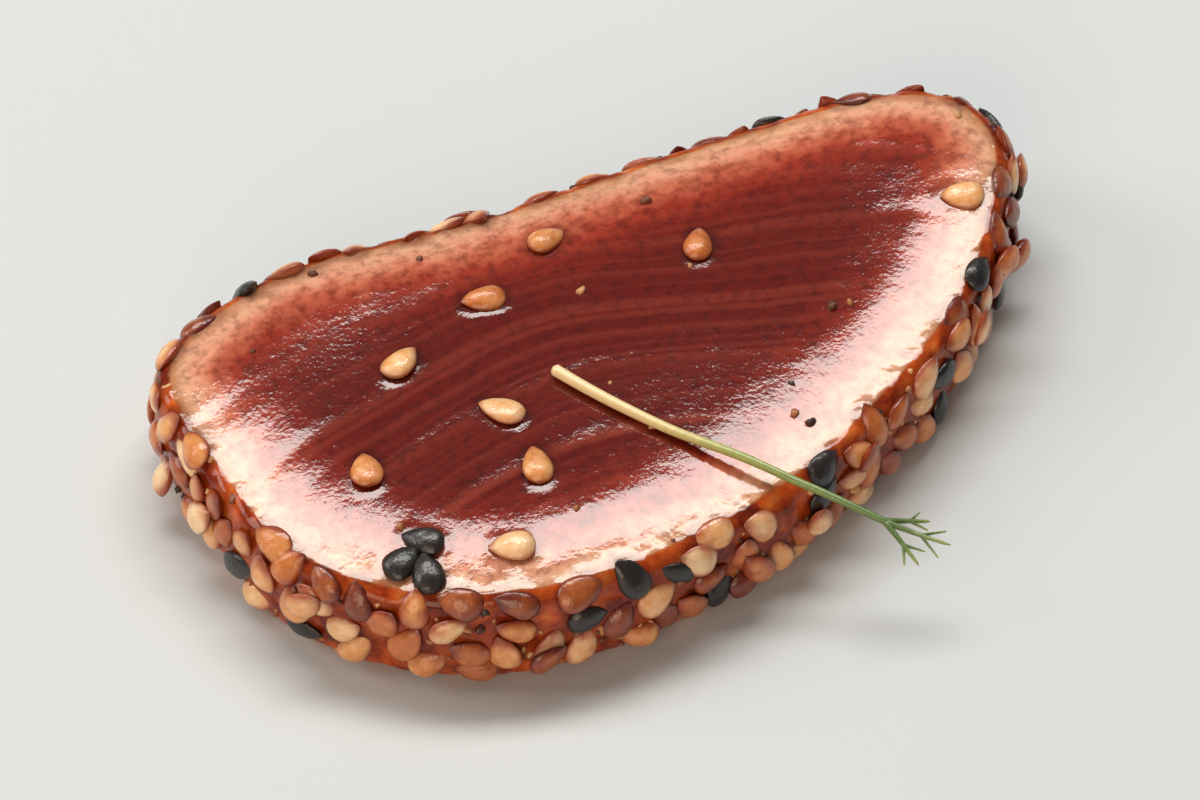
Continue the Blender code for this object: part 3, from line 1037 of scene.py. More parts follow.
@dataclass(frozen=True)
class SesameCoat:
    """A sesame seed, hulled and toasted in oil, or black with its hull on.

    Hulling leaves a waxy, faintly ribbed skin; toasting browns it unevenly, most at the point
    where it grew, and the oil gives a soft gloss.
    """

    name: str
    stops: Stops
    tip: Tint
    roughness: float
    coat: float
    coat_roughness: float
    glow: float
    glaze: float
    glow_colour: tuple[float, float, float] = (1.0, 0.6, 0.35)
    glow_depth: float = 0.5 * MM
    unevenness: float = 0.5  # how much the toasting varies on one seed
    keel: Tint = Tint("#AA461C", (0.55, 1.0), 0.45, Blend.DARKEN, Easing.SOFT)
    rib: Tint = Tint("#C08A5E", (0.40, 0.68), 0.12, Blend.DARKEN)
    ribs: float = 4.5  # ribs on half a seed's width
    rib_shift: float = 37.0  # gives seeds of another toast other ribs
    glaze_colour: str = "#AA461C"
    glaze_edges: tuple[float, float] = (-1.10, -0.08)
    glaze_smears: float = -2.2
    ior: float = 1.47
    skin: float = 0.16 * MM  # the skin's net is finer; drawn as coarse as it needs to show
    skin_rise: float = 0.018 * MM
    dent: float = 0.70 * MM
    dent_depth: float = 0.10 * MM
    blotch: float = 0.9 * MM
    smear: float = 2.2 * MM

    def toasted(self, tree: Tree, place: Socket) -> Socket:
        """Colours each seed by how dark it was toasted, in blotches.

        Args:
            tree: The material's node tree.
            place: Object coordinates.

        Returns:
            The colour.
        """
        toast = add_node(tree, "ShaderNodeAttribute", {}, {"attribute_name": "toast"}, "Fac")
        inputs = {"Vector": place, "Scale": 1 / self.blotch, "Detail": 3.0}
        blotch = add_node(tree, "ShaderNodeTexNoise", inputs)
        share = shifted(tree, toast, blotch, self.unevenness)
        colour = add_node(tree, "ShaderNodeValToRGB", {0: share})
        set_stops(colour.node, self.stops)
        return colour

    def ribbed(self, tree: Tree, colour: Socket) -> Socket:
        """Darkens each seed's point, the keel round its edge and the furrows along it.

        Args:
            tree: The material's node tree.
            colour: The toasted colour.

        Returns:
            The colour.
        """
        tip, keel, toast, across = (
            add_node(tree, "ShaderNodeAttribute", {}, {"attribute_name": name}, "Fac")
            for name in ("tip", "keel", "toast", "across")
        )
        inputs = {0: toast, 1: self.rib_shift, 2: across}
        own = add_node(tree, "ShaderNodeMath", inputs, {"operation": "MULTIPLY_ADD"})
        inputs = {"W": own, "Scale": self.ribs, "Detail": 1.0}
        ribs = add_node(tree, "ShaderNodeTexNoise", inputs, {"noise_dimensions": "1D"})
        colour = self.keel.over(tree, keel, self.tip.over(tree, tip, colour))
        return self.rib.over(tree, ribs, colour)

    def glazed(self, tree: Tree, place: Socket, colour: Socket) -> Socket:
        """Smears glaze up each seed from where it lies.

        Args:
            tree: The material's node tree.
            place: Object coordinates.
            colour: The seed's own colour.

        Returns:
            The colour.
        """
        lie, glazed = (
            add_node(tree, "ShaderNodeAttribute", {}, {"attribute_name": name}, "Fac")
            for name in ("lie", "glazed")
        )
        smear = add_node(tree, "ShaderNodeTexNoise", {"Vector": place, "Scale": 1 / self.smear})
        inputs = {0: smear, 1: self.glaze_smears, 2: lie}
        level = add_node(tree, "ShaderNodeMath", inputs, {"operation": "MULTIPLY_ADD"})
        low, high = self.glaze_edges
        inputs = {0: level, 1: low, 2: high, 3: self.glaze, 4: 0.0}
        wet = add_node(tree, "ShaderNodeMapRange", inputs, {"interpolation_type": "SMOOTHSTEP"})
        share = add_node(tree, "ShaderNodeMath", {0: wet, 1: glazed}, {"operation": "MULTIPLY"})
        inputs = {0: share, 6: colour, 7: linear(self.glaze_colour)}
        settings = {"data_type": "RGBA", "blend_type": Blend.DARKEN.value}
        return add_node(tree, "ShaderNodeMix", inputs, settings, 2)

    def relief(self, tree: Tree, place: Socket) -> Socket:
        """Dents the seed as it shrank in drying, and wrinkles its skin.

        Args:
            tree: The material's node tree.
            place: Object coordinates.

        Returns:
            The normal.
        """
        dents = add_node(tree, "ShaderNodeTexNoise", {"Vector": place, "Scale": 1 / self.dent})
        inputs = {"Strength": 1.0, "Distance": self.dent_depth, "Height": dents}
        dented = add_node(tree, "ShaderNodeBump", inputs)
        inputs = {"Vector": place, "Scale": 1 / self.skin, "Detail": 2.0}
        skin = add_node(tree, "ShaderNodeTexNoise", inputs)
        inputs = {"Strength": 1.0, "Distance": self.skin_rise, "Height": skin, "Normal": dented}
        return add_node(tree, "ShaderNodeBump", inputs)

    def material(self) -> bpy.types.Material:
        """Builds the material.

        Returns:
            The finished material.
        """
        made, tree = start_material(self.name)
        place = add_node(tree, "ShaderNodeTexCoord", {}, output="Object")
        wrinkles = self.relief(tree, place)
        feed(tree, tree.nodes["Principled BSDF"], {
            "Base Color": self.glazed(tree, place, self.ribbed(tree, self.toasted(tree, place))),
            "Normal": wrinkles,
            "Roughness": self.roughness,
            "IOR": self.ior,
            "Coat Weight": self.coat,
            "Coat Roughness": self.coat_roughness,
            "Coat Normal": wrinkles,
            "Subsurface Weight": self.glow,
            "Subsurface Radius": self.glow_colour,
            "Subsurface Scale": self.glow_depth,
        })
        return made


PALE_COAT = SesameCoat(
    name="toasted_sesame",
    stops=((0.0, "#F5D6A9"), (0.23, "#E9A968"), (0.47, "#CA7432"), (0.82, "#873810")),
    tip=Tint("#98522A", (0.55, 1.0), 0.35, easing=Easing.SOFT),
    roughness=0.40,
    coat=0.60,
    coat_roughness=0.15,
    glow=0.22,
    glaze=0.85,
)
BLACK_COAT = SesameCoat(
    name="black_sesame_hull",
    stops=((0.0, "#231C19"), (0.5, "#15100E"), (1.0, "#0C0908")),
    tip=Tint("#33281F", (0.55, 1.0), 0.35, easing=Easing.SOFT),
    roughness=0.46,
    coat=0.55,
    coat_roughness=0.22,
    glow=0.0,
    glaze=0.3,
)


@dataclass(frozen=True)
class FriedCrumb:
    """Bits of hull, browned flour and pepper that caught in the crust as it fried in oil.

    They are porous and faintly oily, in browns from straw to nearly black.
    """

    name: str = "fried_crumb"
    stops: Stops = ((0.0, "#D9A871"), (0.45, "#A2602F"), (0.8, "#5B2C14"), (1.0, "#26150D"))
    roughness: float = 0.55
    coat: float = 0.3
    coat_roughness: float = 0.25

    def material(self) -> bpy.types.Material:
        """Builds the material.

        Returns:
            The finished material.
        """
        made, tree = start_material(self.name)
        toast = add_node(tree, "ShaderNodeAttribute", {}, {"attribute_name": "toast"}, "Fac")
        colour = add_node(tree, "ShaderNodeValToRGB", {0: toast})
        set_stops(colour.node, self.stops)
        feed(tree, tree.nodes["Principled BSDF"], {
            "Base Color": colour,
            "Roughness": self.roughness,
            "Coat Weight": self.coat,
            "Coat Roughness": self.coat_roughness,
        })
        return made


@dataclass(frozen=True)
class SproutSkin:
    """The fresh stem of a herb sprout, blanched at its cut end and green towards its tips.

    A young stem is faintly ribbed, a little waxy and lets some light through.
    """

    name: str = "herb_stem"
    stops: Stops = (
        (0.0, "#EFD3A4"), (0.30, "#E2CB92"), (0.50, "#9DA658"),
        (0.72, "#5E7A3A"), (0.88, "#55703A"), (1.0, "#93A15C"),
    )
    streak: float = 0.5 * MM
    streak_reach: float = 0.22  # share of the stem that the streaks shift the colour by
    roughness: float = 0.38
    coat: float = 0.3
    coat_roughness: float = 0.2
    glow: float = 0.2
    glow_colour: tuple[float, float, float] = (0.6, 1.0, 0.3)
    glow_depth: float = 0.4 * MM

    def material(self) -> bpy.types.Material:
        """Builds the material.

        Returns:
            The finished material.
        """
        made, tree = start_material(self.name)
        place = add_node(tree, "ShaderNodeTexCoord", {}, output="Object")
        along = add_node(tree, "ShaderNodeAttribute", {}, {"attribute_name": "along"}, "Fac")
        inputs = {"Vector": place, "Scale": 1 / self.streak, "Detail": 3.0}
        streaks = add_node(tree, "ShaderNodeTexNoise", inputs)
        tone = shifted(tree, along, streaks, self.streak_reach)
        colour = add_node(tree, "ShaderNodeValToRGB", {0: tone})
        set_stops(colour.node, self.stops)
        feed(tree, tree.nodes["Principled BSDF"], {
            "Base Color": colour,
            "Roughness": self.roughness,
            "Coat Weight": self.coat,
            "Coat Roughness": self.coat_roughness,
            "Subsurface Weight": self.glow,
            "Subsurface Radius": self.glow_colour,
            "Subsurface Scale": self.glow_depth,
        })
        return made


@dataclass(frozen=True)
class PaintedBoard:
    """A board rolled with matt emulsion, which is even and has no glint."""

    name: str = "matt_floor"
    colour: str = "#C9CED0"
    roughness: float = 0.6

    def material(self) -> bpy.types.Material:
        """Builds the material.

        Returns:
            The finished material.
        """
        made, tree = start_material(self.name)
        shades = {"Base Color": linear(self.colour), "Roughness": self.roughness}
        feed(tree, tree.nodes["Principled BSDF"], shades)
        return made


# Pieces

def as_piece(
    name: str, shape: bmesh.types.BMesh, material: bpy.types.Material
) -> bpy.types.Object:
    """Turns a finished mesh to a smooth piece.

    Args:
        name: The piece's name.
        shape: The mesh, which is freed.
        material: Its finish.

    Returns:
        The piece.
    """
    mesh = bpy.data.meshes.new(name)
    shape.to_mesh(mesh)
    shape.free()
    mesh.shade_smooth()
    mesh.materials.append(material)
    return bpy.data.objects.new(name, mesh)


@dataclass(frozen=True)
class Ring:
    """One ring of the fish's surface: its share of the way out, its inset and its level."""

    reach: float
    inset: float
    level: float


@dataclass
class TunaFlesh:
    """The fish: two cut faces and the seared side between them."""

    form: SliceForm
    segments: int = 430
    face_rings: int = 72
    round_rings: int = 5
    wall_rings: int = 30
    under_rings: int = 12
    crag: float = 0.16 * MM  # depth of the side's crags
    crag_span: float = 1.5 * MM
    crag_octaves: tuple[float, float, int] = (0.7, 2.1, 4)  # fall, step and number
    pucker: float = 0.05 * MM  # shrinkage of the cooked band
    pucker_span: float = 1.1 * MM
    pucker_reach: float = 4.0 * MM
    pucker_octaves: tuple[float, float, int] = (0.8, 2.0, 3)
    groove: float = 0.034 * MM  # depth of the seams between flakes
    groove_fade_span: float = 11 * MM
    groove_fade: tuple[float, float] = (-0.35, 0.45)
    fine_seam: float = 0.006 * MM
    fine_seams_per_flake: int = 3
    fine_seam_sharpness: int = 3
    fine_sway: float = 0.6  # in fine seams
    fine_fade: tuple[float, float] = (-0.3, 0.4)
    fine_drift_span: float = 4.5 * MM  # how far apart the waves in the fine seams are
    knife_mark: float = 0.004 * MM
    knife_pitch: float = 2.9 * MM
    knife_turn: float = math.radians(-35)
    knife_drift: float = 5.5  # how unevenly the strokes follow each other
    knife_drift_span: float = 8 * MM
    seat_rise: float = 0.12 * MM  # how far glaze climbs round a seed
    face_seat_rise: float = 0.05 * MM
    seat_inner: float = 0.90 * MM
    seat_outer: float = 1.5 * MM
    seat_calm: float = 0.7  # how much the glaze round a seed fills the crags
    brown_edge: tuple[float, float] = (0.15 * MM, 0.75 * MM)

    def rings(self) -> list[Ring]:
        """Lists the rings from the middle of the upper face to the middle of the underside.

        Returns:
            The rings in order.
        """
        form = self.form
        inset = form.edge_round
        rings = [Ring(n / self.face_rings, inset, 1.0) for n in range(1, self.face_rings + 1)]
        turns = [math.pi / 2 * n / self.round_rings for n in range(1, self.round_rings + 1)]
        corner = [(inset * (1 - math.sin(a)), inset * (1 - math.cos(a))) for a in turns]
        rings += [Ring(1.0, side, 1 - drop / form.thickness) for side, drop in corner]
        steps = self.wall_rings + 1
        low, high = inset / form.thickness, 1 - inset / form.thickness
        rings += [Ring(1.0, 0.0, high + (low - high) * n / steps) for n in range(1, steps)]
        rings += [Ring(1.0, side, drop / form.thickness) for side, drop in reversed(corner)]
        rings += [Ring(n / self.under_rings, inset, 0.0) for n in range(self.under_rings, 0, -1)]
        return rings

    def lay_out(self, shape: bmesh.types.BMesh) -> list[tuple[bmesh.types.BMVert, Ring]]:
        """Adds the plain section's rings of points and the faces between them.

        Args:
            shape: The empty mesh.

        Returns:
            Each point with its ring, the middles of the two cut faces last.
        """
        outline = self.form.outline
        shares = [step / self.segments for step in range(self.segments)]
        edge = [(share, outline.point(share), outline.normal(share)) for share in shares]
        laid, loops = [], []
        for ring in self.rings():
            loop = []
            for share, point, outward in edge:
                stand = self.form.wall_stand(share, ring.level) if ring.reach == 1.0 else 0.0
                place = (point - outward * ring.inset) * ring.reach + outward * stand
                loop.append(shape.verts.new(self.form.on_section(place, ring.level)))
            loops.append(loop)
            laid += [(vertex, ring) for vertex in loop]
        for loop, following in zip(loops, loops[1:]):
            for step in range(self.segments):
                before = step - 1
                shape.faces.new((loop[before], following[before], following[step], loop[step]))
        for loop, level in ((loops[0], 1.0), (loops[-1], 0.0)):
            middle = shape.verts.new(self.form.on_section(Vector((0, 0, 0)), level))
            laid.append((middle, Ring(0.0, 0.0, level)))
            for step in range(self.segments):
                shape.faces.new((middle, loop[step - 1], loop[step]))
        return laid

    def face_relief(self, place: Vector, inside: float) -> float:
        """Reads the small relief of the cut face.

        Args:
            place: The point.
            inside: How far in from the seared side it is.

        Returns:
            The height to add.
        """
        puckered = 1 - smooth_step(inside, 0.0, self.pucker_reach)
        lumps = noise.fractal(place / self.pucker_span, *self.pucker_octaves)
        rise = self.pucker * puckered * lumps
        open_here = smooth_step(noise.noise(place / self.groove_fade_span), *self.groove_fade)
        rise -= self.groove * open_here * self.form.seam(place.x, place.y)
        spot = place / self.fine_drift_span
        way = self.form.seam_way(place.x, place.y) * self.fine_seams_per_flake
        beat = 0.5 + 0.5 * math.cos(2 * math.pi * (way + self.fine_sway * noise.noise(spot)))
        shown = smooth_step(noise.noise(spot + Vector((7, 0, 0))), *self.fine_fade)
        rise -= self.fine_seam * beat**self.fine_seam_sharpness * shown * (1 - puckered)
        across = place.x * math.sin(self.knife_turn) + place.y * math.cos(self.knife_turn)
        drift = noise.noise(place / self.knife_drift_span) * self.knife_drift
        return rise + self.knife_mark * math.sin(2 * math.pi * across / self.knife_pitch + drift)

    def side_relief(self, place: Vector) -> float:
        """Reads the crags of the seared side.

        Args:
            place: The point.

        Returns:
            The distance to move it outwards.
        """
        return self.crag * noise.fractal(place / self.crag_span, *self.crag_octaves)

    def build(self, seeds: list[Seed]) -> bpy.types.Object:
        """Builds the fish with its relief and the values that its material reads.

        Args:
            seeds: The seeds that it carries, which it meets in a soft fillet.

        Returns:
            The piece.
        """
        shape = bmesh.new()
        names = ("edge_mm", "seam", "side", "seat", "flake")
        for name in names:
            shape.verts.layers.float.new(name)
        edge, seam, side, seat, flake = (shape.verts.layers.float[name] for name in names)
        laid = self.lay_out(shape)
        bmesh.ops.recalc_face_normals(shape, faces=shape.faces)
        shape.normal_update()
        beds = seed_beds(seeds)
        for vertex, ring in laid:
            place, normal = vertex.co.copy(), vertex.normal.copy()
            inside = self.form.outline.inside_by(place) if ring.level in (0.0, 1.0) else 0.0
            browned = 1 - smooth_step(inside, *self.brown_edge)
            near = beds.find(place)[2]
            bed = 1 - smooth_step(near, self.seat_inner, self.seat_outer)
            vertex[edge], vertex[side], vertex[seat] = inside / MM, browned, bed
            vertex[seam] = self.form.seam(place.x, place.y) if ring.level == 1.0 else 0.0
            vertex[flake] = self.form.seam_way(place.x, place.y)
            if ring.level == 0.0:
                continue
            climb = self.face_seat_rise + (self.seat_rise - self.face_seat_rise) * browned
            rise = climb * bed + self.side_relief(place) * browned * (1 - self.seat_calm * bed)
            if ring.level == 1.0:
                rise += self.face_relief(place, inside)
            vertex.co = place + normal * rise
            vertex.co.z = max(vertex.co.z, 0.0)
        return as_piece("tuna_flesh", shape, RareTuna().material())


def seed_beds(seeds: list[Seed]) -> kdtree.KDTree:
    """Collects points along every seed, to find the nearest seed to a place.

    Args:
        seeds: The seeds.

    Returns:
        A tree of three points for each seed.
    """
    reach = SeedSize().disc_reach
    tree = kdtree.KDTree(len(seeds) * 3)
    for number, seed in enumerate(seeds):
        for step in (-1, 0, 1):
            tree.insert(seed.matrix @ Vector((step * reach, 0, 0)), number)
    tree.balance()
    return tree


@dataclass(frozen=True)
class Template:
    """A small shape that is copied many times."""

    points: np.ndarray
    faces: list[tuple[int, ...]]
    values: dict[str, np.ndarray]

    def placed(self, matrix: Matrix) -> np.ndarray:
        """Moves the shape's points by a matrix.

        Args:
            matrix: Where the copy goes.

        Returns:
            The copy's points.
        """
        turned = np.array(matrix)
        return self.points @ turned[:3, :3].T + turned[:3, 3]


@dataclass(frozen=True)
class Copy:
    """A template as it lies in a piece, with the values that all its points share."""

    template: Template
    matrix: Matrix
    shared: dict[str, float]

    def readings(self) -> dict[str, np.ndarray]:
        """Lists every value of every point.

        Returns:
            The values by name, those of the template and the shared ones.
        """
        count = len(self.template.points)
        return self.template.values | {n: np.full(count, v) for n, v in self.shared.items()}


def joined(name: str, copies: list[Copy], material: bpy.types.Material) -> bpy.types.Object:
    """Joins many placed copies of small shapes in one piece.

    Args:
        name: The piece's name.
        copies: The copies, which all have the same values.
        material: The finish for all of them.

    Returns:
        The piece, with its points' values as attributes.
    """
    points, faces = [], []
    start = 0
    for copy in copies:
        points.append(copy.template.placed(copy.matrix))
        faces += [tuple(start + corner for corner in face) for face in copy.template.faces]
        start += len(copy.template.points)
    mesh = bpy.data.meshes.new(name)
    mesh.from_pydata(np.concatenate(points).tolist(), [], faces)
    readings = [copy.readings() for copy in copies]
    for title in readings[0]:
        values = np.concatenate([reading[title] for reading in readings])
        layer = mesh.attributes.new(title, "FLOAT", "POINT")
        layer.data.foreach_set("value", values.astype(np.float32))
    mesh.shade_smooth()
    mesh.materials.append(material)
    return bpy.data.objects.new(name, mesh)


def as_template(
    shape: bmesh.types.BMesh, readings: dict[str, Callable[[Vector], float]]
) -> Template:
    """Turns a finished small mesh to a template.

    Args:
        shape: The mesh, which is freed.
        readings: For each value that the finish reads, how it follows from a point's place.

    Returns:
        The template.
    """
    bmesh.ops.recalc_face_normals(shape, faces=shape.faces)
    points = np.array([tuple(vertex.co) for vertex in shape.verts])
    values = {
        name: np.array([read(vertex.co) for vertex in shape.verts])
        for name, read in readings.items()
    }
    shape.verts.index_update()
    # Sorted, because the order in which the operators leave the faces changes from run to run.
    faces = sorted(tuple(vertex.index for vertex in face.verts) for face in shape.faces)
    shape.free()
    return Template(points, faces, values)


@dataclass
class SesameCrust:
    """All the seeds of one kind, as one piece."""

    seed: SeedSize = field(default_factory=SeedSize)
    sides: int = 20
    rings: int = 12
    beak: float = 0.34  # how much finer the very tip is than the solid's
    beak_from: float = 0.55
    margin: float = 0.05  # the seed's keel round its edge
    margin_height: float = 0.22
    wobble: float = 0.06
    wobble_pitch: float = 1.7
    lens: float = 1.12  # above 1 the seed thins out toward its edge
    bend: float = 0.09
    bend_step: float = 2.4  # radians between the bends of two variants
    bend_middle: float = 0.35  # keeps a bent seed about its middle line

    def template(self, variant: int) -> Template:
        """Shapes one seed: a flat drop with a keel round its edge and a fine point.

        Args:
            variant: Which of the uneven shapes to make.

        Returns:
            The seed, pointed at +X with its broad side up.
        """
        shape = bmesh.new()
        bmesh.ops.create_uvsphere(
            shape, u_segments=self.sides, v_segments=self.rings, radius=1
        )
        for vertex in shape.verts:
            along, across, up = vertex.co.z, vertex.co.x, vertex.co.y
            narrow = 1 - self.seed.point * along
            narrow *= 1 - self.beak * smooth_step(along, self.beak_from, 1.0)
            keel = 1 + self.margin * math.exp(-((up / self.margin_height) ** 2))
            spot = vertex.co * self.wobble_pitch + Vector((variant * 5, 0, 0))
            uneven = 1 + self.wobble * noise.noise(spot)
            vertex.co.x = along * self.seed.length / 2 * uneven
            bow = along * along - self.bend_middle
            bent = self.bend * math.sin(variant * self.bend_step) * bow
            vertex.co.y = (across * narrow * keel * uneven + bent) * self.seed.width / 2
            thick = signed_power(up, self.lens) * narrow * uneven
            vertex.co.z = thick * self.seed.depth / 2
        seed = self.seed
        return as_template(
            shape,
            {
                "tip": lambda place: place.x / seed.length * 2,
                "across": lambda place: place.y / seed.width * 2,
                "lie": lambda place: place.z / seed.depth * 2,
                "keel": lambda place: 1 - min(1.0, abs(place.z) / seed.depth * 2),
            },
        )

    def build(
        self, kind: SeedKind, seeds: list[Seed], coat: SesameCoat, variants: int
    ) -> bpy.types.Object:
        """Joins the seeds of one kind.

        Args:
            kind: Which seeds to take.
            seeds: Every seed on the slice.
            coat: The finish of this kind.
            variants: How many uneven shapes there are.

        Returns:
            The piece.
        """
        templates = [self.template(variant) for variant in range(variants)]
        copies = [
            Copy(templates[seed.variant], seed.matrix, {"toast": seed.toast, "glazed": seed.glazed})
            for seed in seeds
            if seed.kind is kind
        ]
        return joined(kind.value, copies, coat.material())


@dataclass
class SearCrumbs:
    """Crumbs in the gaps of the crust, and a few that strayed onto the face."""

    form: SliceForm
    on_side: int = 330
    on_face: int = 18
    draw: int = 91
    levels: tuple[float, float] = (0.05, 0.99)
    face_inward: float = 0.9  # share of the way to the middle that the strays reach
    face_edge: float = 0.95
    sizes: tuple[float, float] = (0.16 * MM, 0.46 * MM)
    breadths: tuple[float, float] = (0.5, 1.0)
    flatness: float = 0.7
    broken: float = 0.55  # how uneven the lumps are
    broken_pitch: float = 1.4
    floor_gap: float = 1.6  # in sizes of the largest crumb
    variants: int = 5

    def template(self, variant: int) -> Template:
        """Shapes one crumb: a broken, uneven lump.

        Args:
            variant: Which of the shapes to make.

        Returns:
            The crumb, about 2 across.
        """
        shape = bmesh.new()
        bmesh.ops.create_icosphere(shape, subdivisions=2, radius=1)
        for vertex in shape.verts:
            shift = noise.noise(vertex.co * self.broken_pitch + Vector((0, variant * 9, 0)))
            vertex.co *= 1 + self.broken * shift
        return as_template(shape, {})

    def side_place(self, chance: random.Random) -> Vector:
        """Draws a place on the seared side.

        Args:
            chance: The seeded source of numbers.

        Returns:
            A point just inside the surface.
        """
        share, level = chance.random(), chance.uniform(*self.levels)
        outward = self.form.outline.normal(share)
        inset = self.form.edge_round * max(0.0, 1 - math.sin(math.pi * level) * 4)
        stand = self.form.wall_stand(share, level) - inset
        return self.form.on_section(self.form.outline.point(share) + outward * stand, level)

    def face_place(self, chance: random.Random) -> Vector:
        """Draws a place on the upper face, most often near its edge.

        Args:
            chance: The seeded source of numbers.

        Returns:
            A point on the surface.
        """
        share = 1 - self.face_inward * chance.random() ** 2
        edge = self.form.outline.point(chance.random())
        return self.form.on_section(edge * share * self.face_edge, 1.0)

    def build(self) -> bpy.types.Object:
        """Joins the crumbs in one piece.

        Returns:
            The piece.
        """
        chance = random.Random(self.draw)
        templates = [self.template(variant) for variant in range(self.variants)]
        places = [self.side_place(chance) for _ in range(self.on_side)]
        places += [self.face_place(chance) for _ in range(self.on_face)]
        copies = []
        for place in places:
            place.z = max(place.z, self.sizes[1] * self.floor_gap)
            size = chance.uniform(*self.sizes)
            breadth = size * chance.uniform(*self.breadths)
            shape = Matrix.Diagonal((size, breadth, size * self.flatness, 1))
            turn = Vector([chance.uniform(-1, 1) for _ in range(3)]).to_track_quat("Z", "Y")
            matrix = Matrix.Translation(place) @ turn.to_matrix().to_4x4() @ shape
            copies.append(Copy(chance.choice(templates), matrix, {"toast": chance.random()}))
        return joined("sear_crumbs", copies, FriedCrumb().material())


@dataclass
class HerbSprout:
    """A bent stem with a cut end and a forked tip of fine threads."""

    form: SliceForm
    start: tuple[float, float] = (-7.0 * MM, -0.5 * MM)
    bend: tuple[float, float] = (-3.9 * MM, -10.0 * MM)
    end: tuple[float, float] = (5.5 * MM, -22.0 * MM)
    radius: float = 0.42 * MM
    tip_radius: float = 0.24 * MM
    clear: float = 0.34 * MM
    over_edge: float = 0.55 * MM
    over_edge_shares: tuple[float, float] = (0.40, 0.68)
    droop: float = 2.6 * MM
    droop_shares: tuple[float, float] = (0.72, 1.20)
    plan_points: int = 18
    settle: float = 0.26 * MM  # how much closer to the fish than the solid it lies
    points: int = 90
    sides: int = 18
    ribs: int = 6
    rib_depth: float = 0.06
    cut_end: tuple[float, float] = (0.55, 1.5)  # least share of the radius, points to all of it
    tip_end: tuple[float, float] = (0.3, 2.0)
    forward_back: int = 8  # points before the stem's end that its last direction is read from
    fork_back: int = 3
    tines: tuple[tuple[float, float, float], ...] = (  # turn, length in mm and fall
        (-0.55, 3.6, 0.25), (0.05, 4.6, -0.35), (0.60, 3.2, 0.10),
    )
    tine_girth: tuple[float, float] = (0.95, 0.42)  # at its two ends, in tip radii
    tine_steps: int = 20
    thread_turns: tuple[float, float] = (-0.64, 0.72)
    thread_length: float = 0.42  # of its tine's
    thread_girth: tuple[float, float] = (0.5, 0.25)
    thread_from: int = 11  # the tine's step that they leave from
    fork_tone: float = 0.82

    def line(self, count: int, lower: float = 0.0) -> list[Vector]:
        """Reads the stem's middle line.

        Args:
            count: How many points to read.
            lower: How much lower than the solid's the line is.

        Returns:
            The points from the cut end to the fork.
        """
        start, bend, end = (Vector((*p, 0)) for p in (self.start, self.bend, self.end))
        points = []
        for step in range(count):
            share = step / (count - 1)
            point = start * (1 - share) ** 2 + bend * 2 * share * (1 - share) + end * share**2
            over = self.over_edge * smooth_step(share, *self.over_edge_shares)
            fall = self.droop * smooth_step(share, *self.droop_shares)
            top = self.form.top(point.x, point.y)
            point.z = top + self.clear + self.radius + over - fall - lower
            points.append(point)
        return points

    def threads(self, stem: list[Vector]) -> list[tuple[list[Vector], float, float]]:
        """Forks the tip into tines, and each tine into finer threads.

        Args:
            stem: The stem's middle line.

        Returns:
            Each thread's line, its first radius and its last.
        """
        forward = (stem[-1] - stem[-self.forward_back]).normalized()
        made = []
        for turn, length, fall in self.tines:
            ahead = Matrix.Rotation(turn, 3, "Z") @ forward
            down = Vector((0, 0, -fall))
            shares = [step / self.tine_steps for step in range(self.tine_steps + 1)]
            fork = stem[-self.fork_back]
            tine = [fork + (ahead * length * s + down * s * s) * MM for s in shares]
            made.append((tine, *(self.tip_radius * girth for girth in self.tine_girth)))
            for aside in self.thread_turns:
                away = Matrix.Rotation(turn + aside, 3, "Z") @ forward
                root = tine[self.thread_from]
                thread = [root + away * length * self.thread_length * s * MM for s in shares]
                made.append((thread, *(self.tip_radius * girth for girth in self.thread_girth)))
        return made

    def tube(
        self, shape: bmesh.types.BMesh, line: list[Vector], first: float, last: float,
        tones: tuple[float, float],
    ) -> None:
        """Adds a ribbed, tapering tube with rounded ends to the mesh.

        Args:
            shape: The mesh, with its float layer "along".
            line: The tube's middle line.
            first: Its radius at the start.
            last: Its radius at the end.
            tones: The values of "along" at its two ends.
        """
        layer = shape.verts.layers.float["along"]
        count = len(line)
        (cut, cut_span), (tip, tip_span) = self.cut_end, self.tip_end
        loops = []
        for number, point in enumerate(line):
            share = number / (count - 1)
            ahead = (line[min(number + 1, count - 1)] - line[max(number - 1, 0)]).normalized()
            side = ahead.cross(Vector((0, 0, 1))).normalized()
            up = side.cross(ahead)
            left = count - 1 - number
            closing = min(1.0, cut + number / cut_span, tip + left / tip_span)
            loop = []
            for step in range(self.sides):
                turn = 2 * math.pi * step / self.sides
                rib = 1 + self.rib_depth * math.cos(self.ribs * turn)
                out = (first + (last - first) * share) * rib * closing
                aside = side * math.cos(turn) + up * math.sin(turn)
                vertex = shape.verts.new(point + aside * out)
                vertex[layer] = tones[0] + (tones[1] - tones[0]) * share
                loop.append(vertex)
            loops.append(loop)
        for loop, following in zip(loops, loops[1:]):
            for step in range(self.sides):
                beside = (step + 1) % self.sides
                shape.faces.new((loop[step], loop[beside], following[beside], following[step]))
        shape.faces.new(reversed(loops[0]))
        shape.faces.new(loops[-1])

    def build(self) -> bpy.types.Object:
        """Builds the stem with its threads.

        Returns:
            The piece.
        """
        shape = bmesh.new()
        shape.verts.layers.float.new("along")
        stem = self.line(self.points, self.settle)
        self.tube(shape, stem, self.radius, self.tip_radius, (0.0, self.fork_tone))
        for line, first, last in self.threads(stem):
            self.tube(shape, line, first, last, (self.fork_tone, 1.0))
        bmesh.ops.recalc_face_normals(shape, faces=shape.faces)
        return as_piece("herb_stem", shape, SproutSkin().material())


# The studio

